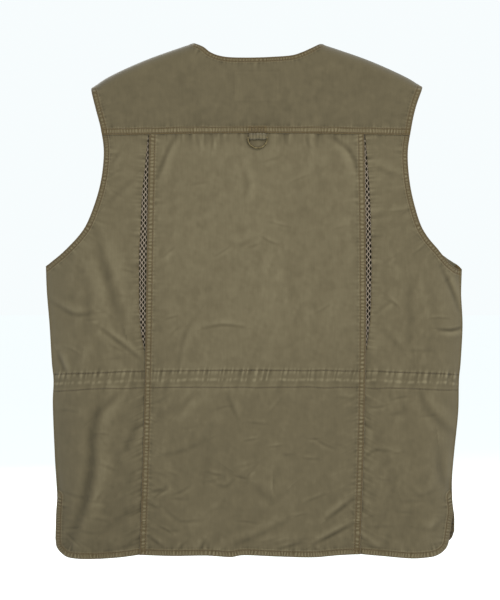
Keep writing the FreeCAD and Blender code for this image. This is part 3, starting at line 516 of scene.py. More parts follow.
class Band:
    """A folded or lapped edge that is stitched down, seen from the outside."""

    # rim is how dark the painted shade along the band's very edge is.
    def __init__(self, line, width, rows, lift=0.35, pucker=0.3, pitch=4.2, reach=7.0, pull=0.3, rim=0.6):
        self.line = line
        self.width = width
        self.rows = rows
        self.lift = lift
        self.pucker = pucker
        self.pitch = pitch
        self.reach = reach
        self.pull = pull
        self.rim = rim

    def relief(self, xz):
        """The band's relief, and how far its thread, its dye and painted shade darken the cloth."""
        relief, seam_tint_and_shade = np.zeros(xz.shape[:-1]), np.zeros(xz.shape[:-1])
        near = close_to(xz, self.line, self.width + 3.5 * self.reach)
        if not near.any():
            return relief, seam_tint_and_shade
        thinned = respace(self.line, max(8, int(len(self.line) / 3)))
        d, _, s = along(xz[near], thinned)
        wander = ladder(s / 17, d * 0 + self.width)
        bars = np.cos(2 * np.pi * (s / self.pitch + 0.7 * wander + 0.25 * ladder(s / 6.5, d / 9)))
        inner = self.rows[0] if len(self.rows) > 1 else 0.6
        outer = self.rows[-1]
        middle, half = (inner + outer) / 2, (outer - inner) / 2
        window = np.exp(-((np.abs(d - middle) / (half * 1.02)) ** 4))
        strength = 0.8 + 0.8 * ladder(s / 7 + 50, d / 12)
        h = self.lift * ramp(self.width + 1.3, self.width - 0.4, d)
        h += self.pucker * strength * bars * window
        beyond = np.clip(d - self.width, 0, None)
        tail = np.exp(-beyond / self.reach) * ramp(self.width - 1, self.width + 1.5, d)
        h += self.pull * tail * ladder(s / 4.5 + 20, d / 30)
        h += 0.14 * bars * np.exp(-beyond / 1.8) * ramp(self.width - 1, self.width + 1.0, d)
        # The band is darker than the cloth round it, most of all in the valleys between its puckers: part
        # dye, part painted shade. The rows below add the dark thread.
        dark = 0.32 * window * (0.8 - 0.45 * bars * strength)
        for row in self.rows:
            h -= 0.36 * hump(d - row, 0.65)
            dark += 0.75 * hump(d - row, 0.85)
        h -= 0.5 * np.clip(1 - d / 1.1, 0, 1) ** 2
        # Painted shade: a dark line along the very edge.
        dark += self.rim * hump(d, 0.9)
        relief[near], seam_tint_and_shade[near] = h, dark
        return relief, seam_tint_and_shade


ARM_ROWS, YOKE_ROWS, NECK_ROWS = (1.6, 6.6), (1.9, 8.3), (1.4, 5.4)
PRINCESS_ROWS, HEM_ROWS, FRONT_EDGE_ROWS = (1.7, 7.8), (7.2,), (7.4,)
MOUTH_ROWS, BAG_ROWS, FLAP_ROWS = (1.8, 12.6), (8.4,), (1.6, 6.8)


def armhole_band(line):
    return Band(line, 8.2, ARM_ROWS)


def hem_band(line):
    return Band(line, 8.8, HEM_ROWS, pucker=0.38, pull=0.35, rim=0.8)


class Pulls:
    """Short puckers that run off a line, with no band of their own, leaning by a slant."""

    def __init__(self, line, reach, height, wavelength, slant=0.0):
        self.line = line
        self.reach = reach
        self.height = height
        self.wavelength = wavelength
        self.slant = slant

    def relief(self, xz):
        relief, seam_tint_and_shade = np.zeros(xz.shape[:-1]), np.zeros(xz.shape[:-1])
        near = close_to(xz, self.line, 3.5 * self.reach)
        if not near.any():
            return relief, seam_tint_and_shade
        d, _, s = along(xz[near], respace(self.line, 60))
        run = (s - self.slant * d) / self.wavelength
        waves = ladder(run + 71, d / 45) + 0.5 * ladder(run * 1.9, d / 30 + 8)
        waves += 0.6 * sharp(ladder(run * 0.9 + 33, d / 60 + 3), 0.3)
        relief[near] = self.height * waves * np.exp(-d / self.reach)
        return relief, seam_tint_and_shade


def sewn(xz, seams):
    """The relief, and the darkening by thread, dye and painted shade, that several seams give together."""
    parts = [seam.relief(xz) for seam in seams]
    return sum(part[0] for part in parts), np.clip(sum(part[1] for part in parts), 0, 1)


# ---------------------------------------------------------------- cloth meshes


def blurred(field, size):
    """A field on a grid, averaged over a square of cells."""
    for axis in (0, 1):
        padded = np.concatenate([
            np.repeat(np.take(field, [0], axis), size, axis), field,
            np.repeat(np.take(field, [-1], axis), size, axis),
        ], axis)
        run = np.cumsum(np.insert(padded, 0, 0, axis), axis)
        count = 2 * size + 1
        high = np.take(run, range(count, run.shape[axis]), axis)
        low = np.take(run, range(0, run.shape[axis] - count), axis)
        field = (high - low) / count
    return field


def normals_of(points, face):
    across = np.gradient(points, axis=1)
    up = np.gradient(points, axis=0)
    n = np.cross(across, up)
    n /= np.linalg.norm(n, axis=-1, keepdims=True) + 1e-12
    return n if np.sum(n[..., 1]) * face > 0 else -n


def stand(piece, body=None, replaces=()):
    """Puts a piece in the scene, on the body it rides on, and hides the CAD parts it stands for."""
    bpy.context.collection.objects.link(piece)
    if body:
        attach(piece, body)
    if replaces:
        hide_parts(*replaces)
    return piece


class Cloth:
    """One piece of cloth: grids of points with their flat coordinates, and each point's wear and painted
    shade.
    """

    def __init__(self, name, closed=False, rests_on="back_yoke"):
        self.name = name
        self.closed = closed
        self.rests_on = rests_on
        self.points = []
        self.flat = []
        self.wear_and_shade = []
        self.seam_tint_and_shade = []
        self.quads = []
        self.count = 0

    def add(self, points, flat, wear_and_shade, outward, seam_tint_and_shade=None):
        rows, columns = points.shape[:2]
        self.seam_tint_and_shade.append(np.zeros(rows * columns) if seam_tint_and_shade is None else seam_tint_and_shade.reshape(-1))
        index = self.count + np.arange(rows * columns).reshape(rows, columns)
        quads = np.stack([index[:-1, :-1], index[:-1, 1:], index[1:, 1:], index[1:, :-1]], -1).reshape(-1, 4)
        middle = (rows // 2, columns // 2)
        a = points[middle]
        n = np.cross(points[middle[0], middle[1] + 1 if middle[1] + 1 < columns else middle[1] - 1] - a,
                     points[middle[0] + 1 if middle[0] + 1 < rows else middle[0] - 1, middle[1]] - a)
        if np.dot(n, outward) < 0:
            quads = quads[:, ::-1]
        self.points.append(points.reshape(-1, 3))
        self.flat.append(flat.reshape(-1, 2))
        self.wear_and_shade.append(wear_and_shade.reshape(-1))
        self.quads.append(quads)
        self.count += rows * columns

    def build(self, material, slot, body=None, replaces=(), held="hung", flat_size=None):
        """The piece, welded; its flat area and the size it was cut to are worked out from its flat
        coordinates, but not used.
        """
        points = np.vstack(self.points) * MM
        flat = np.vstack(self.flat) * MM
        quads = np.vstack(self.quads)
        mesh = bpy.data.meshes.new(self.name)
        mesh.vertices.add(len(points))
        mesh.vertices.foreach_set("co", points.ravel())
        mesh.loops.add(quads.size)
        mesh.loops.foreach_set("vertex_index", quads.ravel())
        mesh.polygons.add(len(quads))
        mesh.polygons.foreach_set("loop_start", np.arange(0, quads.size, 4))
        mesh.polygons.foreach_set("loop_total", np.full(len(quads), 4))
        mesh.update(calc_edges=True)
        layer = mesh.uv_layers.new(name="flat")
        layer.data.foreach_set("uv", flat[quads.ravel()].ravel())
        for field, values in (("wear_and_shade", self.wear_and_shade), ("seam_tint_and_shade", self.seam_tint_and_shade)):
            attribute = mesh.attributes.new(field, "FLOAT", "POINT")
            attribute.data.foreach_set("value", np.concatenate(values).astype(np.float32))
        welded = bmesh.new()
        welded.from_mesh(mesh)
        bmesh.ops.remove_doubles(welded, verts=welded.verts, dist=2e-6)
        welded.to_mesh(mesh)
        welded.free()
        mesh.polygons.foreach_set("use_smooth", np.ones(len(mesh.polygons), bool))
        mesh.materials.append(material)
        piece = stand(bpy.data.objects.new(self.name, mesh), body, replaces)
        if flat_size:
            return piece
        corners = flat[quads]
        across, up = corners[:, 2] - corners[:, 0], corners[:, 3] - corners[:, 1]
        area = np.abs(across[:, 0] * up[:, 1] - across[:, 1] * up[:, 0]).sum() / 2
        if self.closed:
            area /= 2
        width, length = (max(float(v), LEAST_FLAT) for v in np.ptp(flat, axis=0))
        if area < 0.4 * width * length:
            length = math.hypot(width, length)
            width = area / length
        return piece


# In metres: a net's flat size and the share of it that its strands cover, the least flat side of a
# sheet, and how much of its flat rectangle a sheet may fill.
NET_SIZE, NET_COVER = (0.038, 0.309), 0.42
LEAST_FLAT = 0.0102
OVERLAP = 1.4
HEM_ALLOWANCE = 6.5
face_tone_offset = {BACK: -0.06, FRONT: 0.0}


def sheet_grid(xz, face, relief, inset=0.0):
    """Points of a cloth on the vest's form, its normals, and its wear with painted shade, from places across
    and up.
    """
    smooth = np.stack([xz[..., 0], form(xz[..., 0], xz[..., 1], face), xz[..., 1]], -1)
    n = normals_of(smooth, face)
    points = smooth + n * (relief - inset)[..., None]
    # Painted shade and light: lighter on the ridges of the relief and darker in its creases and valleys,
    # part wear of the washed cloth and part painted shade, plus the painted light falloff.
    wear_and_shade = 1.3 * (relief - blurred(relief, 3)) + 0.35 * (relief - blurred(relief, 12)) + painted_light_falloff(xz, face)
    return points, normals_of(points, face), wear_and_shade


def painted_light_falloff(xz, face):
    """Painted light falloff: lighter in the middle of the back, darker low on the left and on the yoke,
    where the light falls off; plus each face's tone offset.
    """
    x, z = xz[..., 0], xz[..., 1]
    middle = hump(x, 210) * ramp(-125, -150, z) * ramp(-560, -330, z)
    low_left = ramp(60, 280, x) * ramp(-430, -690, z)
    yoke = ramp(-122, -112, z)
    return face_tone_offset[face] + 0.22 * middle - 0.26 * low_left - 0.12 * yoke


def turned_under(cloth, points, normal, wear_and_shade):
    """Rolls a free edge over and lays its allowance flat against the inside.

    The first index of each field runs from the edge inwards.
    """
    steps = np.linalg.norm(np.diff(points, axis=0), axis=-1).mean(axis=1)
    inside = int(np.searchsorted(np.cumsum(steps), HEM_ALLOWANCE)) + 1
    edge, inner, out = points[0], points[inside], normal[inside]
    rows = [(0, 0), (-0.04, 0.5), (0.02, 1.05), (0.15, 1.3), (1.0, 1.25)]
    turned = np.stack([edge + (inner - edge) * share - out * under for share, under in rows])
    flat = np.stack([(edge + (inner - edge) * share)[:, [0, 2]] for share, _ in rows])
    middle = len(edge) // 2
    inward = -out[middle] * 0.2 + (edge - inner)[middle] / HEM_ALLOWANCE
    # Painted shade: the turned-under allowance is painted dark, as the inside of the vest lies in shade.
    painted_inside_shade = np.array([0.9, 0.95, 0.95, 0.9, 0.6])[:, None] * np.ones(len(edge))
    cloth.add(turned, flat, np.stack([wear_and_shade[0]] * len(rows)), inward, painted_inside_shade)


def folded_edges(cloth, points, normal, wear_and_shade, edges):
    """Turns under the named edges of a grid."""
    views = {
        "bottom": lambda field: field,
        "top": lambda field: field[::-1],
        "start": lambda field: np.swapaxes(field, 0, 1),
        "end": lambda field: np.swapaxes(field, 0, 1)[::-1],
    }
    for edge in edges:
        turned_under(cloth, *(views[edge](field) for field in (points, normal, wear_and_shade)))


# ---------------------------------------------------------------- stitches


class Stitches:
    """Short lengths of thread laid in rows on the cloth, all in one mesh."""

    PITCH = 3.3
    LENGTH = 2.6
    RADIUS = 0.36
    SIDES = 6
    # Each ring's place along a stitch in lengths, its thickness in radii and its lift in diameters.
    RINGS = (
        (-0.5, 0.35, -0.25), (-0.36, 0.95, 0.0), (0.0, 1.05, 0.12), (0.36, 0.95, 0.0), (0.5, 0.35, -0.25),
    )

    def __init__(self):
        self.points = []
        self.quads = []
        self.count = 0

    def rows(self, line, points, normals, offsets, inside):
        """Rows at offsets from a line, towards the inside point, lying on a cloth's grid."""
        tree = KDTree(points.shape[0] * points.shape[1])
        flat_points, flat_normals = points.reshape(-1, 3), normals.reshape(-1, 3)
        for i, p in enumerate(flat_points):
            tree.insert((p[0], p[2], 0), i)
        tree.balance()
        for offset in offsets:
            path = beside(line, offset, inside)
            places = respace(path, max(4, int(run_of(path)[-1] / self.PITCH)))[1:-1]
            for place, step in zip(places, np.gradient(places, axis=0)):
                i = tree.find((place[0], place[1], 0))[1]
                self.stitch(flat_points[i], flat_normals[i], np.array([step[0], 0, step[1]]), place)

    def stitch(self, point, normal, way, place):
        centre = np.array([place[0], point[1], place[1]]) + normal * 0.12
        way = way - normal * np.dot(way, normal)
        way /= np.linalg.norm(way) + 1e-9
        side = np.cross(way, normal)
        turn = np.linspace(0, 2 * np.pi, self.SIDES, endpoint=False)
        circle = np.cos(turn)[:, None] * side + np.sin(turn)[:, None] * normal
        for along_way, thick, lift in self.RINGS:
            middle = centre + way * along_way * self.LENGTH + normal * lift * self.RADIUS * 2
            self.points.append(middle + circle * self.RADIUS * thick)
        for ring in range(len(self.RINGS) - 1):
            for k in range(self.SIDES):
                a = self.count + ring * self.SIDES + k
                b = self.count + ring * self.SIDES + (k + 1) % self.SIDES
                self.quads.append((a, b, b + self.SIDES, a + self.SIDES))
        self.count += len(self.RINGS) * self.SIDES

    def build(self, name, body=None):
        mesh = bpy.data.meshes.new(name)
        mesh.from_pydata((np.vstack(self.points) * MM).tolist(), [], self.quads)
        mesh.polygons.foreach_set("use_smooth", np.ones(len(mesh.polygons), bool))
        mesh.materials.append(thread)
        return stand(bpy.data.objects.new(name, mesh), body)


# ---------------------------------------------------------------- materials


class Nodes:
    """A material's node tree with short ways to add and link nodes."""

    def __init__(self, name):
        self.material = bpy.data.materials.new(name)
        self.material.use_nodes = True
        self.tree = self.material.node_tree
        self.shader = self.tree.nodes["Principled BSDF"]

    def add(self, kind, **settings):
        node = self.tree.nodes.new(kind)
        for key, value in settings.items():
            setattr(node, key, value)
        return node

    def link(self, source, target):
        self.tree.links.new(source, target)

    def math(self, operation, *values):
        node = self.add("ShaderNodeMath", operation=operation)
        for socket, value in zip(node.inputs, values):
            if isinstance(value, (int, float)):
                socket.default_value = value
            else:
                self.link(value, socket)
        return node.outputs[0]

    def noise(self, coordinates, scale, detail=3.0, rough=0.55):
        node = self.add("ShaderNodeTexNoise")
        node.inputs["Scale"].default_value = scale
        node.inputs["Detail"].default_value = detail
        node.inputs["Roughness"].default_value = rough
        self.link(coordinates, node.inputs["Vector"])
        return node.outputs["Fac"]

    def ramp(self, factor, stops):
        node = self.add("ShaderNodeValToRGB")
        ramp = node.color_ramp
        while len(ramp.elements) < len(stops):
            ramp.elements.new(0.5)
        for element, (place, colour) in zip(ramp.elements, stops):
            element.position = place
            element.color = (*colour, 1)
        self.link(factor, node.inputs["Fac"])
        return node.outputs["Color"]

    def bump(self, height, strength, distance):
        node = self.add("ShaderNodeBump")
        node.inputs["Strength"].default_value = strength
        node.inputs["Distance"].default_value = distance
        self.link(height, node.inputs["Height"])
        self.link(node.outputs["Normal"], self.shader.inputs["Normal"])

    def set(self, **values):
        for key, value in values.items():
            self.shader.inputs[key.replace("_", " ")].default_value = value


def cotton(name, dark, mid, light, threads=1500.0, sheen=0.25, weave_depth=0.00012):
    """Plain-woven cotton: threads both ways, unevenly faded, lighter on its ridges and darker in its creases
    (part wear, part painted shade), and darker along its seams and edges (thread, dye and painted shade).
    """
    n = Nodes(name)
    flat = n.add("ShaderNodeUVMap", uv_map="flat").outputs["UV"]
    wear_and_shade_fac = n.add("ShaderNodeAttribute", attribute_name="wear_and_shade").outputs["Fac"]
    fade = n.noise(flat, 9.0, 4.0)
    mottle = n.noise(flat, 70.0, 5.0, 0.65)
    slub = n.add("ShaderNodeMapping")
    slub.inputs["Scale"].default_value = (1.0, 0.10, 1.0)
    n.link(flat, slub.inputs["Vector"])
    streak = n.noise(slub.outputs["Vector"], 420.0, 2.0)
    tone = n.math("MULTIPLY_ADD", fade, 0.18, 0.41)
    for source, strength in ((mottle, 0.14), (streak, 0.10)):
        centred = n.math("MULTIPLY", n.math("SUBTRACT", source, 0.5), strength)
        tone = n.math("ADD", tone, centred)
    # Ridges lighten and creases darken here: part wear, part painted shade and painted light falloff.
    tone = n.math("ADD", tone, n.math("MULTIPLY", wear_and_shade_fac, 0.55))
    # Seams darken towards a brown: their thread and dye, plus painted shade along the edges and on the
    # inside.
    tinted_and_shaded = n.add("ShaderNodeMix", data_type="RGBA")
    n.link(n.add("ShaderNodeAttribute", attribute_name="seam_tint_and_shade").outputs["Fac"], tinted_and_shaded.inputs["Factor"])
    n.link(n.ramp(tone, [(0.12, dark), (0.5, mid), (0.88, light)]), tinted_and_shaded.inputs["A"])
    tinted_and_shaded.inputs["B"].default_value = (*SEAM_AND_SHADE_BROWN, 1)
    n.link(tinted_and_shaded.outputs["Result"], n.shader.inputs["Base Color"])

    axes = n.add("ShaderNodeSeparateXYZ")
    n.link(flat, axes.inputs["Vector"])
    warp = n.math("SINE", n.math("MULTIPLY", axes.outputs["X"], threads * math.tau))
    weft = n.math("SINE", n.math("MULTIPLY", axes.outputs["Y"], threads * math.tau))
    weave = n.math("MULTIPLY", warp, weft)
    grain = n.noise(flat, 900.0, 3.0, 0.7)
    height = n.math("ADD", n.math("MULTIPLY", weave, 0.35), grain)
    n.bump(height, 0.55, weave_depth)
    n.set(Roughness=0.88, Sheen_Weight=sheen, Sheen_Roughness=0.5, Specular_IOR_Level=0.2)
    return n.material


def plain_metal(name, dark, light, roughness, metallic):
    """Metal with an aged, uneven finish."""
    n = Nodes(name)
    place = n.add("ShaderNodeTexCoord").outputs["Object"]
    age = n.noise(place, 260.0, 5.0, 0.6)
    n.link(n.ramp(age, [(0.35, dark), (0.65, light)]), n.shader.inputs["Base Color"])
    scratch = n.noise(place, 1800.0, 2.0)
    n.link(n.math("MULTIPLY_ADD", scratch, 0.2, roughness - 0.1), n.shader.inputs["Roughness"])
    n.bump(age, 0.25, 0.0001)
    n.set(Metallic=metallic)
    return n.material


def thread_material():
    n = Nodes("thread")
    place = n.add("ShaderNodeTexCoord").outputs["Object"]
    shade = n.noise(place, 700.0, 3.0)
    n.link(n.ramp(shade, [(0.3, (0.036, 0.021, 0.005)), (0.7, (0.085, 0.052, 0.014))]),
           n.shader.inputs["Base Color"])
    wave = n.add("ShaderNodeTexWave")
    wave.inputs["Scale"].default_value = 900.0
    wave.inputs["Distortion"].default_value = 1.0
    n.link(place, wave.inputs["Vector"])
    n.bump(wave.outputs["Fac"], 0.4, 0.0001)
    n.set(Roughness=0.7, Sheen_Weight=0.2)
    return n.material


# The brown that seams, and painted shade, darken the cloth towards.
SEAM_AND_SHADE_BROWN = (0.075, 0.050, 0.017)
OLIVE_DARK, OLIVE, OLIVE_LIGHT = (0.054, 0.0430, 0.0218), (0.0995, 0.0800, 0.0434), (0.160, 0.133, 0.077)
olive = cotton("washed_cotton", OLIVE_DARK, OLIVE, OLIVE_LIGHT)
tape_cotton = cotton("binding_cotton", (0.07, 0.06, 0.035), (0.125, 0.107, 0.065), (0.20, 0.17, 0.11),
                     threads=1100.0)
label_weave = cotton("label_satin", (0.06, 0.052, 0.034), (0.10, 0.087, 0.058), (0.15, 0.13, 0.09),
                     threads=2200.0, sheen=0.15)
knit = cotton("mesh_knit", (0.17, 0.125, 0.08), (0.27, 0.215, 0.155), (0.40, 0.33, 0.25), threads=2600.0)
thread = thread_material()
tape_weave = cotton("zip_tape_weave", (0.07, 0.06, 0.034), (0.115, 0.098, 0.058), (0.18, 0.155, 0.10),
                    threads=1400.0, sheen=0.15)
cord_elastic = cotton("elastic_braid", (0.10, 0.09, 0.065), (0.20, 0.18, 0.13), (0.32, 0.29, 0.22),
                      threads=700.0, weave_depth=0.0004)
brass = plain_metal("antique_brass", (0.052, 0.040, 0.017), (0.17, 0.134, 0.068), 0.46, 0.85)
dark_metal = plain_metal("dark_metal", (0.05, 0.042, 0.028), (0.13, 0.11, 0.075), 0.42, 0.85)
zip_plastic = plain_metal("zip_plastic", (0.075, 0.062, 0.036), (0.12, 0.10, 0.062), 0.5, 0.0)


# ---------------------------------------------------------------- the back


def back_yoke(stitches):
    seam_left = x_at(armhole_line[LEFT], YOKE_SEAM - SEAM_BOW)
    seam_right = x_at(armhole_line[RIGHT], YOKE_SEAM - SEAM_BOW)
    bottom_line = spline([(seam_left, YOKE_SEAM - SEAM_BOW), (110, YOKE_SEAM - 1), (0, YOKE_SEAM),
                          (-110, YOKE_SEAM - 1), (seam_right, YOKE_SEAM - SEAM_BOW)], 400)
    counts = (125, 165, 125)
    top = joined(respace(shoulder_line[LEFT][::-1], counts[0]), spline(NECKLINE, counts[1]),
                 respace(shoulder_line[RIGHT], counts[2]))
    bottom = joined(*[
        np.column_stack([np.linspace(a, b, count), np.interp(np.linspace(a, b, count), bottom_line[::-1, 0],
                                                              bottom_line[::-1, 1])])
        for a, b, count in zip((seam_left, 92, -90), (92, -90, seam_right), counts)
    ])
    edges = {}
    rows = 1 - (1 - np.linspace(0, 1, 96)) ** 1.35
    for side in (LEFT, RIGHT):
        upper = armhole_line[side][armhole_line[side][:, 1] > YOKE_SEAM - SEAM_BOW]
        edges[side] = at_shares(upper[::-1], rows)
        edges[side][0] = bottom[0 if side == LEFT else -1]
        edges[side][-1] = top[0 if side == LEFT else -1]
    xz = patch(bottom, top, edges[LEFT], edges[RIGHT], up=rows)
    neck = spline(NECKLINE, 300)
    bands = [
        Band(bottom_line, 9.6, YOKE_ROWS, lift=0.3, pucker=0.24, pitch=4.0, rim=0.5),
        armhole_band(armhole_line[LEFT]),
        armhole_band(armhole_line[RIGHT]),
        Band(neck, 6.6, NECK_ROWS),
    ]
    x, z = xz[..., 0], xz[..., 1]
    tab_end = ramp(14, 11.5, np.abs(x)) * ramp(-115, -117, z) * ramp(-126, -124, z)
    seams, seam_tint_and_shade = sewn(xz, bands)
    relief = back_relief(xz) + seams + label_relief(xz) + 0.6 * tab_end
    points, normal, wear_and_shade = sheet_grid(xz, BACK, relief, inset=-OVERLAP * ramp(-50, -95, z))
    cloth = Cloth("yoke_cloth")
    # Painted shade: a dark line along each shoulder edge, where the lit top would otherwise show light.
    for side in (LEFT, RIGHT):
        seam_tint_and_shade = seam_tint_and_shade + 0.9 * hump(along(xz, shoulder_line[side])[0], 1.6)
    cloth.add(points, xz, wear_and_shade, (0, 1, 0), np.clip(seam_tint_and_shade + 0.45 * tab_end, 0, 1))
    folded_edges(cloth, points, normal, wear_and_shade, ("bottom", "start", "end"))
    neck_part = slice(counts[0], -counts[2])
    folded_edges(cloth, points[:, neck_part], normal[:, neck_part], wear_and_shade[:, neck_part], ("top",))
    stitches.rows(bottom_line, points, normal, YOKE_ROWS, (0, -60))
    for side in (LEFT, RIGHT):
        upper = armhole_line[side][armhole_line[side][:, 1] > YOKE_SEAM]
        stitches.rows(upper, points, normal, ARM_ROWS, (0, -100))
    stitches.rows(neck, points, normal, NECK_ROWS, (0, -100))
    for height in (-117.6, -119.2, -120.8, -122.4, -124.0):
        bar = np.array([(-12.0, height), (0.0, height), (12.0, height)])
        stitches.rows(bar, points, normal, (0,), (0, -130))
    return cloth


def label_relief(xz):
    """The neck label's edges show faintly through the yoke."""
    x, z = xz[..., 0], xz[..., 1]
    inside = ramp(32, 29, np.abs(x - 1)) * ramp(-83, -80, z) * ramp(-40, -43, z)
    return 0.12 * inside


def back_centre(stitches):
    rows, columns = 530, 250
    left, right = respace(princess_line[LEFT][::-1], rows), respace(princess_line[RIGHT][::-1], rows)
    bottom = spline(CENTRE_HEM, columns)
    top_x = np.linspace(left[-1, 0], right[-1, 0], columns)
    top = np.column_stack([top_x, np.full(columns, YOKE_SEAM + 2.0)])
    left[-1], right[-1] = top[0], top[-1]
    bottom[0], bottom[-1] = left[0], right[0]
    xz = patch(bottom, top, left, right)
    hem = spline(CENTRE_HEM, 300)
    bands = [
        Band(princess_line[LEFT], 9.2, PRINCESS_ROWS, pitch=5.2),
        Band(princess_line[RIGHT], 9.2, PRINCESS_ROWS, pitch=5.2),
        hem_band(hem),
        Pulls(np.array([(149.0, YOKE_SEAM), (-149.0, YOKE_SEAM)]), 11, 0.5, 9),
        *[Pulls(line[line[:, 1] < -480], 14, 0.42, 7, 0.5) for line in princess_line.values()],
    ]
    seams, seam_tint_and_shade = sewn(xz, bands)
    lap = np.minimum(*(np.abs(xz[..., 0] - x_at(line, xz[..., 1])) for line in princess_line.values()))
    raised = 0.5 * OVERLAP * ramp(16, 4, lap) * ramp(-124, -150, xz[..., 1])
    points, normal, wear_and_shade = sheet_grid(xz, BACK, back_relief(xz) + seams, inset=-raised)
    cloth = Cloth("centre_cloth")
    cloth.add(points, xz, wear_and_shade, (0, 1, 0), seam_tint_and_shade)
    folded_edges(cloth, points, normal, wear_and_shade, ("start", "end", "bottom"))
    for side in (LEFT, RIGHT):
        stitches.rows(princess_line[side], points, normal, PRINCESS_ROWS, (0, -400))
    stitches.rows(hem, points, normal, HEM_ROWS, (0, -400))
    for line in waist_rows(left[-1, 0] - 1, right[-1, 0] + 1):
        stitches.rows(line, points, normal, (0,), (0, -465))
    return cloth


def waist_rows(start, end):
    """The two rows that sew the tunnel, between two places across."""
    x = np.linspace(start, end, 120)
    return [np.column_stack([x, height]) for height in waist_lines(x)]


def back_side(word, stitches):
    side = SIDES[word]
    rows_upper, rows_lower, columns = 170, 370, 105
    edge = princess_line[side]
    gap = spline([(g, z) for z, g in VENT_GAP[side]], 200)
    inner_x = edge[:, 0] + side * np.where(edge[:, 1] > VENT_BOTTOM, x_at(gap, edge[:, 1]), -6.0)
    inner_line = np.column_stack([inner_x, edge[:, 1]])
    upper_inner = respace(inner_line[inner_line[:, 1] > PIT][::-1], rows_upper)
    lower_inner = respace(inner_line[inner_line[:, 1] <= PIT][::-1], rows_lower)
    lower_inner[-1] = upper_inner[0]
    inner = joined(lower_inner, upper_inner)
    lower_armhole = armhole_line[side][armhole_line[side][:, 1] < YOKE_SEAM + 2][::-1]
    outer = joined(respace(side_line[side][::-1], rows_lower), respace(lower_armhole, rows_upper))
    hem = spline(HEM[side], 300)
    eased = 1 - (1 - np.linspace(0, 1, columns)) ** 1.5
    bottom = at_shares(np.vstack([[[inner[0, 0], hem[0, 1]]], hem]), eased)
    top = inner[-1] + (outer[-1] - inner[-1]) * eased[:, None]
    inner[0] = bottom[0]
    outer[0] = bottom[-1]
    xz = patch(bottom, top, inner, outer, across=eased)
    slit = side_line[side][side_line[side][:, 1] < -627]
    edges = {
        "armhole": armhole_line[side],
        "hem": joined(slit, hem[::-1]),
        "vent": inner_line[inner_line[:, 1] > VENT_BOTTOM],
    }
    bands = [
        armhole_band(edges["armhole"]),
        hem_band(edges["hem"]),
        Pulls(edges["vent"], 7, 0.45, 5.5),
        Pulls(edge[edge[:, 1] < VENT_BOTTOM - 50], 15, 0.42, 8, 0.5),
        Pulls(np.array([(side * 152.0, YOKE_SEAM), (side * 212.0, YOKE_SEAM)]), 10, 0.35, 9),
    ]
    seams, seam_tint_and_shade = sewn(xz, bands)
    outside = side * (xz[..., 0] - x_at(edge, xz[..., 1]))
    lowered = 0.25 + 0.6 * OVERLAP * ramp(14, 1, outside) + 0.4 * OVERLAP * ramp(1, -1, outside)
    points, normal, wear_and_shade = sheet_grid(xz, BACK, back_relief(xz) + seams, inset=lowered)
    cloth = Cloth(f"back_side_cloth_{word}")
    # Painted shade: a dark line along the side edge.
    side_edge_shade = 0.9 * hump(along(xz, side_line[side])[0], 1.4)
    cloth.add(points, xz, wear_and_shade, (0, 1, 0), np.clip(seam_tint_and_shade + side_edge_shade, 0, 1))
    folded_edges(cloth, points, normal, wear_and_shade, ("start", "bottom"))
    arm_part = slice(rows_lower - 2, None)
    folded_edges(cloth, points[arm_part], normal[arm_part], wear_and_shade[arm_part], ("end",))
    stitches.rows(lower_armhole, points, normal, ARM_ROWS, (side * 100, -250))
    stitches.rows(edges["hem"], points, normal, HEM_ROWS, (side * 200, -600))
    for line in waist_rows(side * 156, side * 279):
        stitches.rows(line, points, normal, (0,), (0, -465))
    return cloth


def vent_net(word):
    """A knitted net: upright strands that wave towards their neighbours in turn and meet them."""
    side = SIDES[word]
    pitch, spacing, swing = 7.8, 2.7, 0.82
    strands, corners = 11, 6
    z = np.arange(-129.0, -436.0, -pitch / 10)
    edge = x_at(princess_line[side], z)
    drift = 1.2 * gathers(z / 60, float(side))
    turn = np.linspace(0, 2 * np.pi, corners, endpoint=False)
    section = np.stack([0.60 * np.cos(turn), 0.32 * np.sin(turn), np.zeros(corners)], 1)
    cloth = Cloth(f"vent_net_{word}", rests_on="back_side_panel_" + word)
    for k in range(strands):
        wave = swing * np.cos(2 * np.pi * z / pitch) * (1 if k % 2 else -1)
        x = edge + side * (k * spacing - 9.0) + drift + wave
        xz = np.column_stack([x, z])
        y = form(x, z, BACK) + fold_relief(xz, BACK_FOLDS) + washed_relief(xz) - 2.6
        centre = np.column_stack([x, y + 0.2 * np.sin(2 * np.pi * z / pitch + k), z])
        rings = centre[:, None] + np.vstack([section, section[:1]])[None]
        cloth.add(rings, np.repeat(xz[:, None], corners + 1, 1), np.zeros(rings.shape[:2]), (0, 1, 0))
    cloth.build(knit, "vent_mesh", "back", (f"vent_mesh_{word}",), flat_size=NET_SIZE)


# ---------------------------------------------------------------- linings, bindings and trims


def slab(cloth, points, normal, thickness, flat, wear_and_shade, outward, seam_tint_and_shade=None):
    """A sheet with two faces and a rounded rim."""
    cloth.add(points, flat, wear_and_shade, outward, seam_tint_and_shade)
    cloth.add(points - normal * thickness, flat, wear_and_shade, -np.array(outward))

    def round_of(grid):
        return np.concatenate([grid[0, :-1], grid[:-1, -1], grid[-1, :0:-1], grid[:0:-1, 0], grid[:1, 0]])

    def inside_of(grid):
        return np.concatenate([grid[1, :-1], grid[:-1, -2], grid[-2, :0:-1], grid[:0:-1, 1], grid[1:2, 0]])

    edge, n, f, w = (round_of(field) for field in (points, normal, flat, wear_and_shade))
    way = edge - inside_of(points)
    way -= n * np.sum(way * n, axis=1, keepdims=True)
    way /= np.linalg.norm(way, axis=1, keepdims=True) + 1e-9
    half = thickness / 2
    rows = [edge + way * half * 0.8 * math.sin(a) - n * half * (1 - math.cos(a))
            for a in np.linspace(0, math.pi, 5)]
    rim = np.stack(rows)
    cloth.add(rim, np.stack([f] * 5), np.stack([w] * 5), way[len(way) // 2])


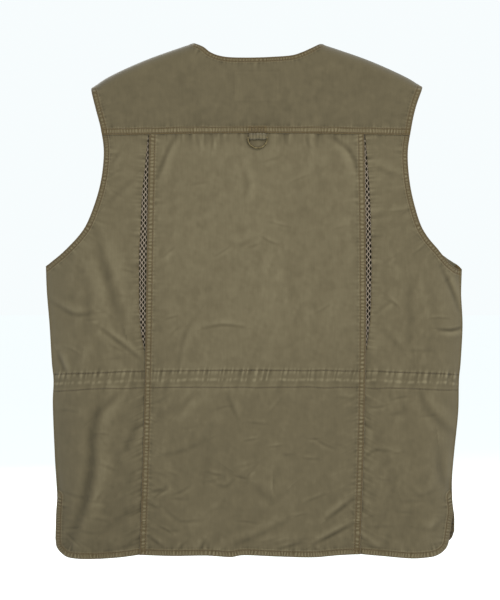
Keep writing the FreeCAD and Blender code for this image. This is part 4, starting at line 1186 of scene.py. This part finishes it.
def band_grid(first, second, rows):
    """Places in a strip between two lines of equal length, its rows running from first to second."""
    share = np.linspace(0, 1, rows)[:, None, None]
    return first[None] * (1 - share) + second[None] * share


def lining(name, xz, face, inset, thickness, material, slot, body, replaces, grain=0.12,
           rests_on="back_yoke"):
    """A strip that lies inside the vest, and follows the cloth that it is sewn to."""
    x, z = xz[..., 0], xz[..., 1]
    follow = back_relief(xz) if face == BACK else front_relief(xz)
    relief = follow + grain * medium(x / 5.5, z / 6.5)
    smooth = np.stack([x, form(x, z, face), z], -1)
    n = normals_of(smooth, face)
    points = smooth + n * (relief - inset)[..., None]
    normal = normals_of(points, face)
    cloth = Cloth(name, closed=True, rests_on=rests_on)
    # Lighter on the ridges, darker in the creases: part wear, part painted shade.
    wear_and_shade = 2.0 * (relief - blurred(relief, 2))
    slab(cloth, points, normal, thickness, xz, wear_and_shade, (0, face, 0))
    return cloth.build(material, slot, body, replaces)


def binding(name, line, width, inside, face, inset, replaces, body="back", grain=0.12, rests_on="back_yoke"):
    """A tape that covers an edge's allowance inside, from the edge to a width within it."""
    strip = band_grid(line, beside(line, width, inside), 9)
    lining(name, strip, face, inset, 0.6, tape_cotton, "binding_tape", body, (replaces,), grain, rests_on)


def back_linings():
    neck = spline(NECKLINE, 160)[6:-6]
    binding("neck_binding", neck, 10.5, (0, -100), BACK, 1.45, "neck_binding_back")
    label_x = np.linspace(-30, 30, 61)
    label = np.stack([np.column_stack([label_x, np.full(61, z)]) for z in np.linspace(-80, -42, 39)])
    lining("blank_label", label, BACK, 2.1, 0.5, label_weave, "label_cloth", "back", ("neck_label",), 0.04)
    for word, side in SIDES.items():
        line = armhole_line[side]
        line = line[(line[:, 1] < -70) & (line[:, 1] > -308)]
        line = respace(line, 150)
        binding(f"armhole_binding_back_{word}", line, 11.5, (side * 80, -300), BACK, 2.0,
                f"armhole_binding_{word}")
        line = front_armhole(side)
        line = respace(line[line[:, 1] > -306], 150)
        binding(f"armhole_binding_front_{word}", line, 11.5, (side * 80, -300), FRONT, 1.6,
                f"armhole_binding_{word}")
    x = np.linspace(-262, 262, 420)
    top, bottom = waist_lines(x)
    share = np.linspace(0, 1, 17)[:, None]
    z = (bottom - 0.5) * (1 - share) + (top + 0.5) * share
    tunnel = np.stack([np.broadcast_to(x, z.shape), z], -1)
    bulge = 1.7 + 3.4 * np.sin(np.pi * share) ** 0.7
    lining("cord_tunnel", tunnel, BACK, bulge * np.ones_like(z), 0.5, olive, "washed_cotton", "back",
           ("waist_tunnel",), 0.35, "back_center_panel")


def tube(name, path, radius, material, body, replaces):
    """A round cord along a path of points."""
    curve = bpy.data.curves.new(name, "CURVE")
    curve.dimensions = "3D"
    run = curve.splines.new("POLY")
    run.points.add(len(path) - 1)
    for point, place in zip(run.points, path * MM):
        point.co = (*place, 1)
    curve.bevel_depth = radius * MM
    curve.bevel_resolution = 3
    curve.use_fill_caps = True
    curve.materials.append(material)
    stand(bpy.data.objects.new(name, curve), body, replaces)


def waist_cord():
    x = np.linspace(-247, 247, 240)
    xz = np.column_stack([x, np.full(240, CORD_LINE)])
    y = form(x, xz[:, 1], BACK) + back_relief(xz) - 3.7
    tube("elastic_waist_cord", np.column_stack([x, y, xz[:, 1]]), 1.45, cord_elastic, "back",
         ("waist_cord",))


def profile_sheet(name, path, x, thickness, ribs, material, slot, body, replaces, outward):
    """A sheet whose rows follow a path in y and z, each the whole way across."""
    points = np.stack([np.column_stack([x, np.full(len(x), y), np.full(len(x), z)]) for y, z in path])
    run = run_of(path)
    flat = np.stack([np.column_stack([x, np.full(len(x), r)]) for r in run])
    across = np.gradient(points, axis=1)
    along_path = np.gradient(points, axis=0)
    normal = np.cross(across, along_path)
    normal /= np.linalg.norm(normal, axis=-1, keepdims=True) + 1e-9
    if np.dot(normal[0, 0], outward) < 0:
        normal = -normal
    px, pz = points[..., 0], points[..., 2]
    ribbing = ribs * (np.cos(2 * np.pi * px / 4.3) + gathers(px / 2.9, pz / 9))
    points = points + normal * ribbing[..., None]
    cloth = Cloth(name, closed=True)
    # The ribbing goes in as wear: rib tops painted lighter, and the hollows between them painted in shade.
    slab(cloth, points, normal, thickness, flat, ribbing, outward)
    return cloth.build(material, slot, body, replaces, held="folded")


def ring_tab():
    """Webbing that comes out below the yoke, goes round the ring's bar and back up behind it."""
    turn = np.linspace(0.15 * math.pi, -1.12 * math.pi, 22)
    bar = (22.7, -132.0)
    loop = [(bar[0] + 2.55 * math.cos(a), bar[1] + 2.55 * math.sin(a)) for a in turn]
    front = [(18.6, -123.4), (20.2, -125.8), (23.2, -127.6), (24.9, -129.8)]
    path = respace(np.array(front + loop + [(20.9, -126.5)]), 54)
    profile_sheet("ring_tab_cloth", path, np.linspace(-11.6, 11.6, 94), 0.9, 0.22, olive, "washed_cotton",
                  "back", ("d_ring_tab",), (0, 1, 0.3))


def neck_loop():
    """A narrow tape, sewn at both ends inside the back neck, to hang the vest by."""
    plan = spline([(-27, 17.6), (-22, 16.6), (-12, 11.6), (0, 9.9), (12, 11.6), (22, 16.6), (27, 17.6)], 80)
    rows = []
    for z in np.linspace(-31.5, -26.5, 7):
        sag = -1.2 * (1 - (plan[:, 0] / 27) ** 2)
        rows.append(np.column_stack([plan[:, 0], plan[:, 1], z + sag]))
    points = np.stack(rows)
    normal = normals_of(points, BACK)
    run = np.linspace(0, 66, 80)
    flat = np.stack([np.column_stack([run, np.full(80, z)]) for z in np.linspace(0, 5, 7)])
    cloth = Cloth("neck_hanging_loop", closed=True)
    slab(cloth, points, normal, 0.8, flat, np.zeros(points.shape[:2]), (0, 1, 0))
    cloth.build(tape_cotton, "binding_tape", "back", ("hanger_loop",))


# ---------------------------------------------------------------- the fronts

FOLD_TOP, FOLD_WAY = np.array([87.0, 0.0]), np.array([163.0, -698.0]) / 716.8
FRONT_FOLDS = [
    ([(168, -90), (150, -140), (142, -196)], 7.0, 1.1),
    ([(200, -110), (186, -170), (190, -240)], 8.0, 1.0),
    ([(276, -330), (236, -372), (196, -392)], 5.0, 1.3),
    ([(262, -316), (222, -340), (150, -362)], 8.0, 0.9),
    ([(272, -420), (230, -436), (190, -430)], 4.0, 1.1),
    ([(20, -388), (70, -398), (124, -386)], 5.0, 0.9),
    ([(40, -414), (110, -424), (176, -412)], 6.0, 0.8),
    ([(258, -470), (222, -540), (232, -620), (256, -684)], 9.0, 1.8),
    ([(200, -500), (214, -560)], 6.0, 1.0),
    ([(196, -640), (232, -668)], 5.0, 1.0),
    ([(40, -662), (96, -676), (150, -668)], 4.0, 0.9),
    ([(70, -120), (62, -168)], 5.0, 0.6),
    ([(100, -130), (104, -190)], 6.0, 0.7),
]


def front_armhole(side):
    upper = [p for p in ARMHOLE[side] if p[1] > FRONT_ARMHOLE_END[side][0][1] + 5]
    return spline(upper + FRONT_ARMHOLE_END[side], 400)


def front_side_line(side):
    upper = [p for p in SIDE_SEAM[side] if p[1] > -580]
    return spline([FRONT_ARMHOLE_END[side][-1]] + upper[1:] + FRONT_SIDE_END[side], 400)


def free_front(xz):
    """The slack and washed relief of a front where no pocket lies on it."""
    x = np.abs(xz[..., 0])
    mirrored = np.stack([x, xz[..., 1]], -1)
    shifted = xz + np.array([411.0, 83.0])
    slack = fold_relief(mirrored, FRONT_FOLDS) * ramp(16, 40, x)
    return slack + washed_relief(shifted) * settled(xz) * (0.1 + 0.9 * ramp(24, 46, x))


def front_relief(xz):
    """The relief of a front, pressed flat under its pockets and their flaps."""
    under = under_pocket(xz)
    return free_front(xz) * (1 - under) - 0.4 * under


POCKETS = {
    "chest": {"inner": 32, "width": 88, "mouth": -225, "height": 120, "bulge": 9, "flap": 50,
              "snaps": (0.5,)},
    "lower": {"inner": 30, "width": 146, "mouth": -454, "height": 192, "bulge": 15, "flap": 60,
              "snaps": (0.24, 0.76)},
}
FLAP_RISE = 13.0
SNAP_RISE = 12.0
PANEL_FRONT = -22.0


def under_pocket(xz):
    x, z = np.abs(xz[..., 0]), xz[..., 1]
    covered = np.zeros(x.shape)
    for size in POCKETS.values():
        first, last = size["inner"], size["inner"] + size["width"]
        top, low = size["mouth"] + FLAP_RISE + 1.8 * size["bulge"], size["mouth"] - size["height"]
        across = ramp(first - 22, first - 2, x) * ramp(last + 22, last + 2, x)
        covered = np.maximum(covered, across * ramp(low - 16, low - 2, z) * ramp(top + 26, top + 2, z))
    return covered


def swings(piece):
    """Bakes a piece's transform into its mesh."""
    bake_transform(piece)


def front_yoke(word, stitches):
    side = SIDES[word]
    columns, rows = 130, 40
    up = 1 - (1 - np.linspace(0, 1, rows)) ** 1.7
    slope = (FOLD_TOP[0] - FRONT_EDGE) / V_POINT
    v_line = np.array([(side * (FOLD_TOP[0] - slope * FRONT_SEAM), FRONT_SEAM), NECK_POINT[side]])
    top = respace(shoulder_line[side], columns)
    outer = front_armhole(side)
    outer = at_shares(outer[outer[:, 1] > FRONT_SEAM][::-1], up)
    outer[-1] = top[-1]
    inner = at_shares(v_line, up)
    bottom = np.column_stack([np.linspace(inner[0, 0], outer[0, 0], columns), np.full(columns, FRONT_SEAM)])
    outer[0] = bottom[-1]
    xz = patch(bottom, top, inner, outer, up=up)
    seam = respace(bottom, 120)
    row_line = respace(bottom[3:], 120)
    bands = [Band(seam, 8.4, (1.6, 7.0)), armhole_band(front_armhole(side)),
             Band(respace(v_line, 60), 6.6, NECK_ROWS)]
    seams, seam_tint_and_shade = sewn(xz, bands)
    points, normal, wear_and_shade = sheet_grid(xz, FRONT, front_relief(xz) + seams, inset=-0.35)
    cloth = Cloth(f"front_yoke_{word}")
    cloth.add(points, xz, wear_and_shade, (0, -1, 0), seam_tint_and_shade)
    folded_edges(cloth, points, normal, wear_and_shade, ("bottom", "start", "end"))
    stitches.rows(row_line, points, normal, (1.6, 7.0), (side * 140, 0))
    stitches.rows(respace(v_line, 60), points, normal, NECK_ROWS, (side * 200, -60))
    piece = cloth.build(olive, "washed_cotton", None, ("back_yoke",))
    swings(piece)


def front_half(word, stitches):
    side = SIDES[word]
    low_rows, high_rows, columns = 165, 105, 116
    outer_low = respace(front_side_line(side)[::-1], low_rows)
    armhole = front_armhole(side)
    outer_high = respace(armhole[armhole[:, 1] < FRONT_SEAM][::-1], high_rows)
    outer_high[0] = outer_low[-1]
    outer = joined(outer_low, outer_high)
    seam_x = FRONT_EDGE + (FOLD_TOP[0] - FRONT_EDGE) * (1 - FRONT_SEAM / V_POINT)
    pit = FRONT_ARMHOLE_END[side][-1][1]
    edge_low = respace(np.array([(side * FRONT_EDGE, FRONT_HEM), (side * FRONT_EDGE, pit)]), low_rows)
    v_line = np.array([(side * FRONT_EDGE, V_POINT), (side * seam_x, FRONT_SEAM)])
    edge_high = respace(np.vstack([[(side * FRONT_EDGE, pit)], v_line]), high_rows)
    inner = joined(edge_low, edge_high)
    last = FRONT_SIDE_END[side][-1]
    hem = spline([(side * FRONT_EDGE, FRONT_HEM), (side * 90, FRONT_HEM - 1), (side * 180, FRONT_HEM),
                  (side * 235, FRONT_HEM + 0.5), (last[0] - side * 18, last[1] - 20),
                  (last[0] - side * 5, last[1] - 12), last], 300)
    eased = 1 - (1 - np.linspace(0, 1, columns)) ** 1.4
    bottom = at_shares(hem, eased)
    top = inner[-1] + (outer[-1] - inner[-1]) * eased[:, None]
    xz = patch(bottom, top, inner, outer, across=eased)
    edge = np.array([(side * FRONT_EDGE, FRONT_HEM), (side * FRONT_EDGE, V_POINT)])
    slit = front_side_line(side)
    slit = slit[slit[:, 1] < SLIT_TOP]
    hem_and_slit = joined(slit, hem[::-1])
    bands = [
        Band(respace(edge, 120), 9.0, FRONT_EDGE_ROWS, lift=0.5, pucker=0.2, pull=0.2),
        Band(respace(v_line, 80), 8.0, (1.6, 6.6)),
        armhole_band(armhole),
        hem_band(hem_and_slit),
    ]
    seams, seam_tint_and_shade = sewn(xz, bands)
    pressed = free_front(xz) - front_relief(xz)
    points, normal, wear_and_shade = sheet_grid(xz, FRONT, free_front(xz) + seams, inset=0.3 + pressed)
    cloth = Cloth(f"front_cloth_{word}")
    cloth.add(points, xz, wear_and_shade, (0, -1, 0), seam_tint_and_shade)
    folded_edges(cloth, points, normal, wear_and_shade, ("bottom", "start"))
    high = low_rows - 1
    for part in (slice(0, int(low_rows * 0.14)), slice(high, None)):
        folded_edges(cloth, points[part], normal[part], wear_and_shade[part], ("end",))
    stitches.rows(respace(edge, 120), points, normal, FRONT_EDGE_ROWS, (side * 100, -400))
    stitches.rows(respace(v_line, 80), points, normal, ARM_ROWS, (side * 200, -150))
    stitches.rows(armhole[armhole[:, 1] < FRONT_SEAM], points, normal, ARM_ROWS, (side * 100, -250))
    stitches.rows(hem_and_slit, points, normal, HEM_ROWS, (side * 100, -500))
    piece = cloth.build(olive, "washed_cotton", None, (f"front_panel_{word}", f"front_side_panel_{word}"))
    swings(piece)


def upright_strip(side, near, far, columns, z):
    """Places in a straight strip up a front, from near to far from the middle."""
    across = np.linspace(near, far, columns)
    return np.stack([np.column_stack([np.full(len(z), side * x), z]) for x in across])


def front_linings(word):
    side = SIDES[word]
    body = f"front_{word}"
    z = np.linspace(-696, -200, 220)
    facing = upright_strip(side, 14.6, 52, 17, z)
    lining(f"edge_facing_{word}", facing, FRONT, 2.2, 0.6, tape_cotton, "binding_tape", body,
           (f"front_facing_{word}",), 0.1, f"front_cloth_{word}")
    tape = upright_strip(side, 9.3, 25.3, 9, z * 0.974 - 3)
    lining(f"zip_woven_tape_{word}", tape, FRONT, 1.35, 0.6, tape_weave, "zip_tape", body,
           (f"zip_tape_{word}",), 0.0, f"front_cloth_{word}")
    slope = (FOLD_TOP[0] - FRONT_EDGE) / -V_POINT
    z = np.linspace(-193, -42, 90)
    x = FRONT_EDGE + slope * (z - V_POINT)
    neck = np.column_stack([side * (x + 0.6), z])
    binding(f"neck_edge_binding_{word}", neck, 10.5, (side * 200, -60), FRONT, 1.7,
            f"neck_binding_front_{word}", body, 0.1, f"front_cloth_{word}")


# ---------------------------------------------------------------- pockets and flaps


def snap_places(size, side):
    z = size["mouth"] + FLAP_RISE - size["flap"] + SNAP_RISE
    return [(side * (size["inner"] + size["width"] * share), z) for share in size["snaps"]]


def near_snaps(x, z, size, side):
    """1 away from the snaps and 0 under them."""
    free = np.ones(x.shape)
    for sx, sz in snap_places(size, side):
        free = free * ramp(6.5, 14, np.hypot(x - sx, z - sz))
    return free


def bag(kind, word, size, stitches):
    """A bellows pocket: a soft box, open at the mouth and sewn down round its other three sides."""
    side = SIDES[word]
    first, last = size["inner"], size["inner"] + size["width"]
    top, low, corner, depth = size["mouth"], size["mouth"] - size["height"], 14.0, size["bulge"]
    turn = np.linspace(math.pi, 1.5 * math.pi, 24)
    arc = np.column_stack([np.cos(turn), np.sin(turn)]) * corner
    left_arc = arc + (first + corner, low + corner)
    right_arc = np.column_stack([-arc[:, 0], arc[:, 1]])[::-1] + (last - corner, low + corner)
    outline = np.vstack([[(first, top)], left_arc, right_arc, [(last, top)]]) * (side, 1)
    half = 12
    left_edge = np.vstack([left_arc[:half][::-1], [(first, top)]]) * (side, 1)
    right_edge = np.vstack([right_arc[-half:], [(last, top)]]) * (side, 1)
    low_edge = np.vstack([left_arc[half - 1:], right_arc[:len(right_arc) - half + 1]]) * (side, 1)
    columns, rows = int(size["width"] / 1.2), int(size["height"] / 1.3)
    t = np.linspace(0, 1, columns)
    across = t - 0.1 * np.sin(2 * np.pi * t) / np.pi
    up = 1 - np.linspace(1, 0, rows) ** 0.82
    up = up / up[-1]
    top_edge = np.array([(first, top), (last, top)]) * (side, 1)
    xz = patch(at_shares(low_edge, across), at_shares(top_edge, across), at_shares(left_edge, up),
               at_shares(right_edge, up), across, up)
    x, z = xz[..., 0], xz[..., 1]
    wall = along(xz, respace(outline, 160))[0]
    rise = np.clip(wall / 4.2, 0, 1)
    height = depth * np.sqrt(1 - (1 - rise) ** 2)
    pleat = -1.5 * hump(wall - 1.6, 0.9) * rise
    lip = ramp(top - 60, top - 20, z)
    free = near_snaps(x, z, size, side) * (1 - 0.6 * lip)
    sag = 1.3 * medium((x + 0.4 * z) / 29 + side * 5, (z - 0.4 * x) / 36)
    face = rise * free * (sag + 0.22 * medium((x - 0.5 * z) / 11, (z + 0.5 * x) / 14 + 50))
    edge_seam = Band(respace(outline, 160), 9.5, BAG_ROWS, lift=0.0, pucker=0.16, reach=6, pull=0.4)
    mouth = Band(np.array([(side * first, top), (side * last, top)]), 14.0, MOUTH_ROWS, lift=0.3,
                 pucker=0.08, pull=0.25)
    seams, seam_tint_and_shade = sewn(xz, [edge_seam, mouth])
    relief = face + pleat + seams * np.clip(wall / 6, 0, 1) * free
    y = PANEL_FRONT + 0.7 * (1 - rise) - height - relief * rise
    points = np.stack([x, y, z], -1)
    normal = normals_of(points, FRONT)
    # Lighter on the ridges and along the top of the bellows wall, darker in the creases: part wear, part
    # painted highlight and painted shade.
    wear_and_shade = 1.2 * (relief - blurred(relief, 3)) + 0.1 + 0.25 * hump(wall - 4.5, 1.6)
    cloth = Cloth(f"{kind}_bag_{word}", rests_on=f"front_cloth_{word}")
    flat = xz * (1 + 2 * depth / size["width"], 1 + depth / size["height"])
    cloth.add(points, flat, wear_and_shade, (0, -1, 0), seam_tint_and_shade)
    folded_edges(cloth, points, normal, wear_and_shade, ("top",))
    middle = (side * (first + last) / 2, (top + low) / 2)
    stitches.rows(respace(outline, 160), points, normal, BAG_ROWS, middle)
    mouth_line = np.array([(side * (first + 6), top), (side * (last - 6), top)])
    stitches.rows(respace(mouth_line, 40), points, normal, MOUTH_ROWS, (side * (first + last) / 2, low))
    cloth.build(olive, "washed_cotton", f"front_{word}", (f"{kind}_pocket_{word}",), held="folded")


def flap(kind, word, size):
    """A flap sewn on above the mouth: it stands off the panel, bends and hangs over the pocket."""
    side = SIDES[word]
    first, last = size["inner"] - 2, size["inner"] + size["width"] + 2
    top, low = size["mouth"] + FLAP_RISE, size["mouth"] + FLAP_RISE - size["flap"]
    outside = PANEL_FRONT - size["bulge"] - 4.2
    profile = spline([(-23.0, top - 0.3), (-25.5, top - 0.4), (0.45 * outside - 12.6, top - 2.2),
                      (outside + 1.4, top - 7.0), (outside, top - 13), (outside, low + 14),
                      (outside, low)], 62)
    columns = int((last - first) / 1.4)
    x = np.linspace(side * first, side * last, columns)
    points = np.stack([np.column_stack([x, np.full(columns, y), np.full(columns, z)]) for y, z in profile])
    corner = 12.0
    near_side = np.minimum(np.abs(x) - first, last - np.abs(x))
    inside = np.clip(near_side / corner, 0, 1)
    rounding = corner * (1 - np.sqrt(1 - (1 - inside) ** 2))
    hang = ramp(top - 12, low, points[..., 2])
    points[..., 2] += hang * rounding
    run = run_of(profile)
    flat = np.stack([np.column_stack([x, np.full(columns, -r)]) for r in run])
    normal = normals_of(points, FRONT)
    px, pz = points[..., 0], points[..., 2]
    rim = np.vstack([points[20:, 0], points[-1], points[:19:-1, -1]])
    rim = respace(rim[:, [0, 2]], 200)
    free = near_snaps(px, pz, size, side)
    ends = ramp(0, 10, run)[:, None]
    soft = ends * free * (0.35 * medium(px / 19, pz / 21 + 30 * side) + 0.12 * medium(px / 7, pz / 9))
    seams, seam_tint_and_shade = Band(rim, 8.0, FLAP_ROWS, lift=0.15, pucker=0.18, reach=5,
                        pull=0.25).relief(np.stack([px, pz], -1))
    hanging = free * ramp(top - 18, top - 24, pz)
    relief = soft + seams * hanging
    points = points + normal * (relief - 0.1)[..., None]
    normal = normals_of(points, FRONT)
    cloth = Cloth(f"{kind}_flap_cloth_{word}", closed=True, rests_on=f"front_cloth_{word}")
    # Lighter on the ridges, darker in the creases: part wear, part painted shade.
    wear_and_shade = 1.4 * (relief - blurred(relief, 3)) + 0.1
    slab(cloth, points, normal, 1.4, flat, wear_and_shade, (0, -1, 0), np.clip(seam_tint_and_shade * hanging, 0, 1))
    body = f"{kind}_flap_{word}"
    thread_rows = Stitches()
    middle = (side * (first + last) / 2, low + 30)
    thread_rows.rows(rim, points, normal, FLAP_ROWS, middle)
    cloth.build(olive, "washed_cotton", body, (f"{kind}_flap_{word}",), held="folded")
    thread_rows.build(f"{kind}_flap_stitches_{word}", body)


# ---------------------------------------------------------------- hardware

METALS = {
    "d_ring": brass, "snap": brass, "zip_teeth": zip_plastic, "zip_top_stop": zip_plastic,
    "zip_retainer": zip_plastic, "zip_pin": zip_plastic, "zip_slider": dark_metal, "zip_pull": dark_metal,
}


def dress_hardware():
    """The hard parts keep their CAD shapes, with a small bevel and an aged finish."""
    for name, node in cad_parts.items():
        finish = next((m for key, m in METALS.items() if key in name), None)
        if finish is None:
            continue
        node.data.materials.clear()
        node.data.materials.append(finish)
        node.data.polygons.foreach_set("use_smooth", np.ones(len(node.data.polygons), bool))
        bevel = node.modifiers.new("soft_edges", "BEVEL")
        bevel.width = 0.2 * MM
        bevel.segments = 2
        bevel.limit_method = "ANGLE"
        bevel.harden_normals = True


make_camera()
make_light()
make_floor()
back_stitches = Stitches()
back_yoke(back_stitches).build(olive, "washed_cotton", "back", ("back_yoke",))
back_centre(back_stitches).build(olive, "washed_cotton", "back", ("back_center_panel",))
for word in SIDES:
    back_side(word, back_stitches).build(olive, "washed_cotton", "back", (f"back_side_panel_{word}",))
    vent_net(word)
back_stitches.build("back_stitches", "back")
back_linings()
waist_cord()
ring_tab()
neck_loop()
for word in SIDES:
    cloth_stitches = Stitches()
    front_yoke(word, cloth_stitches)
    front_half(word, cloth_stitches)
    swings(cloth_stitches.build(f"front_stitches_{word}"))
    front_linings(word)
    pocket_stitches = Stitches()
    for kind, size in POCKETS.items():
        bag(kind, word, size, pocket_stitches)
        flap(kind, word, size)
    pocket_stitches.build(f"pocket_stitches_{word}", f"front_{word}")
dress_hardware()
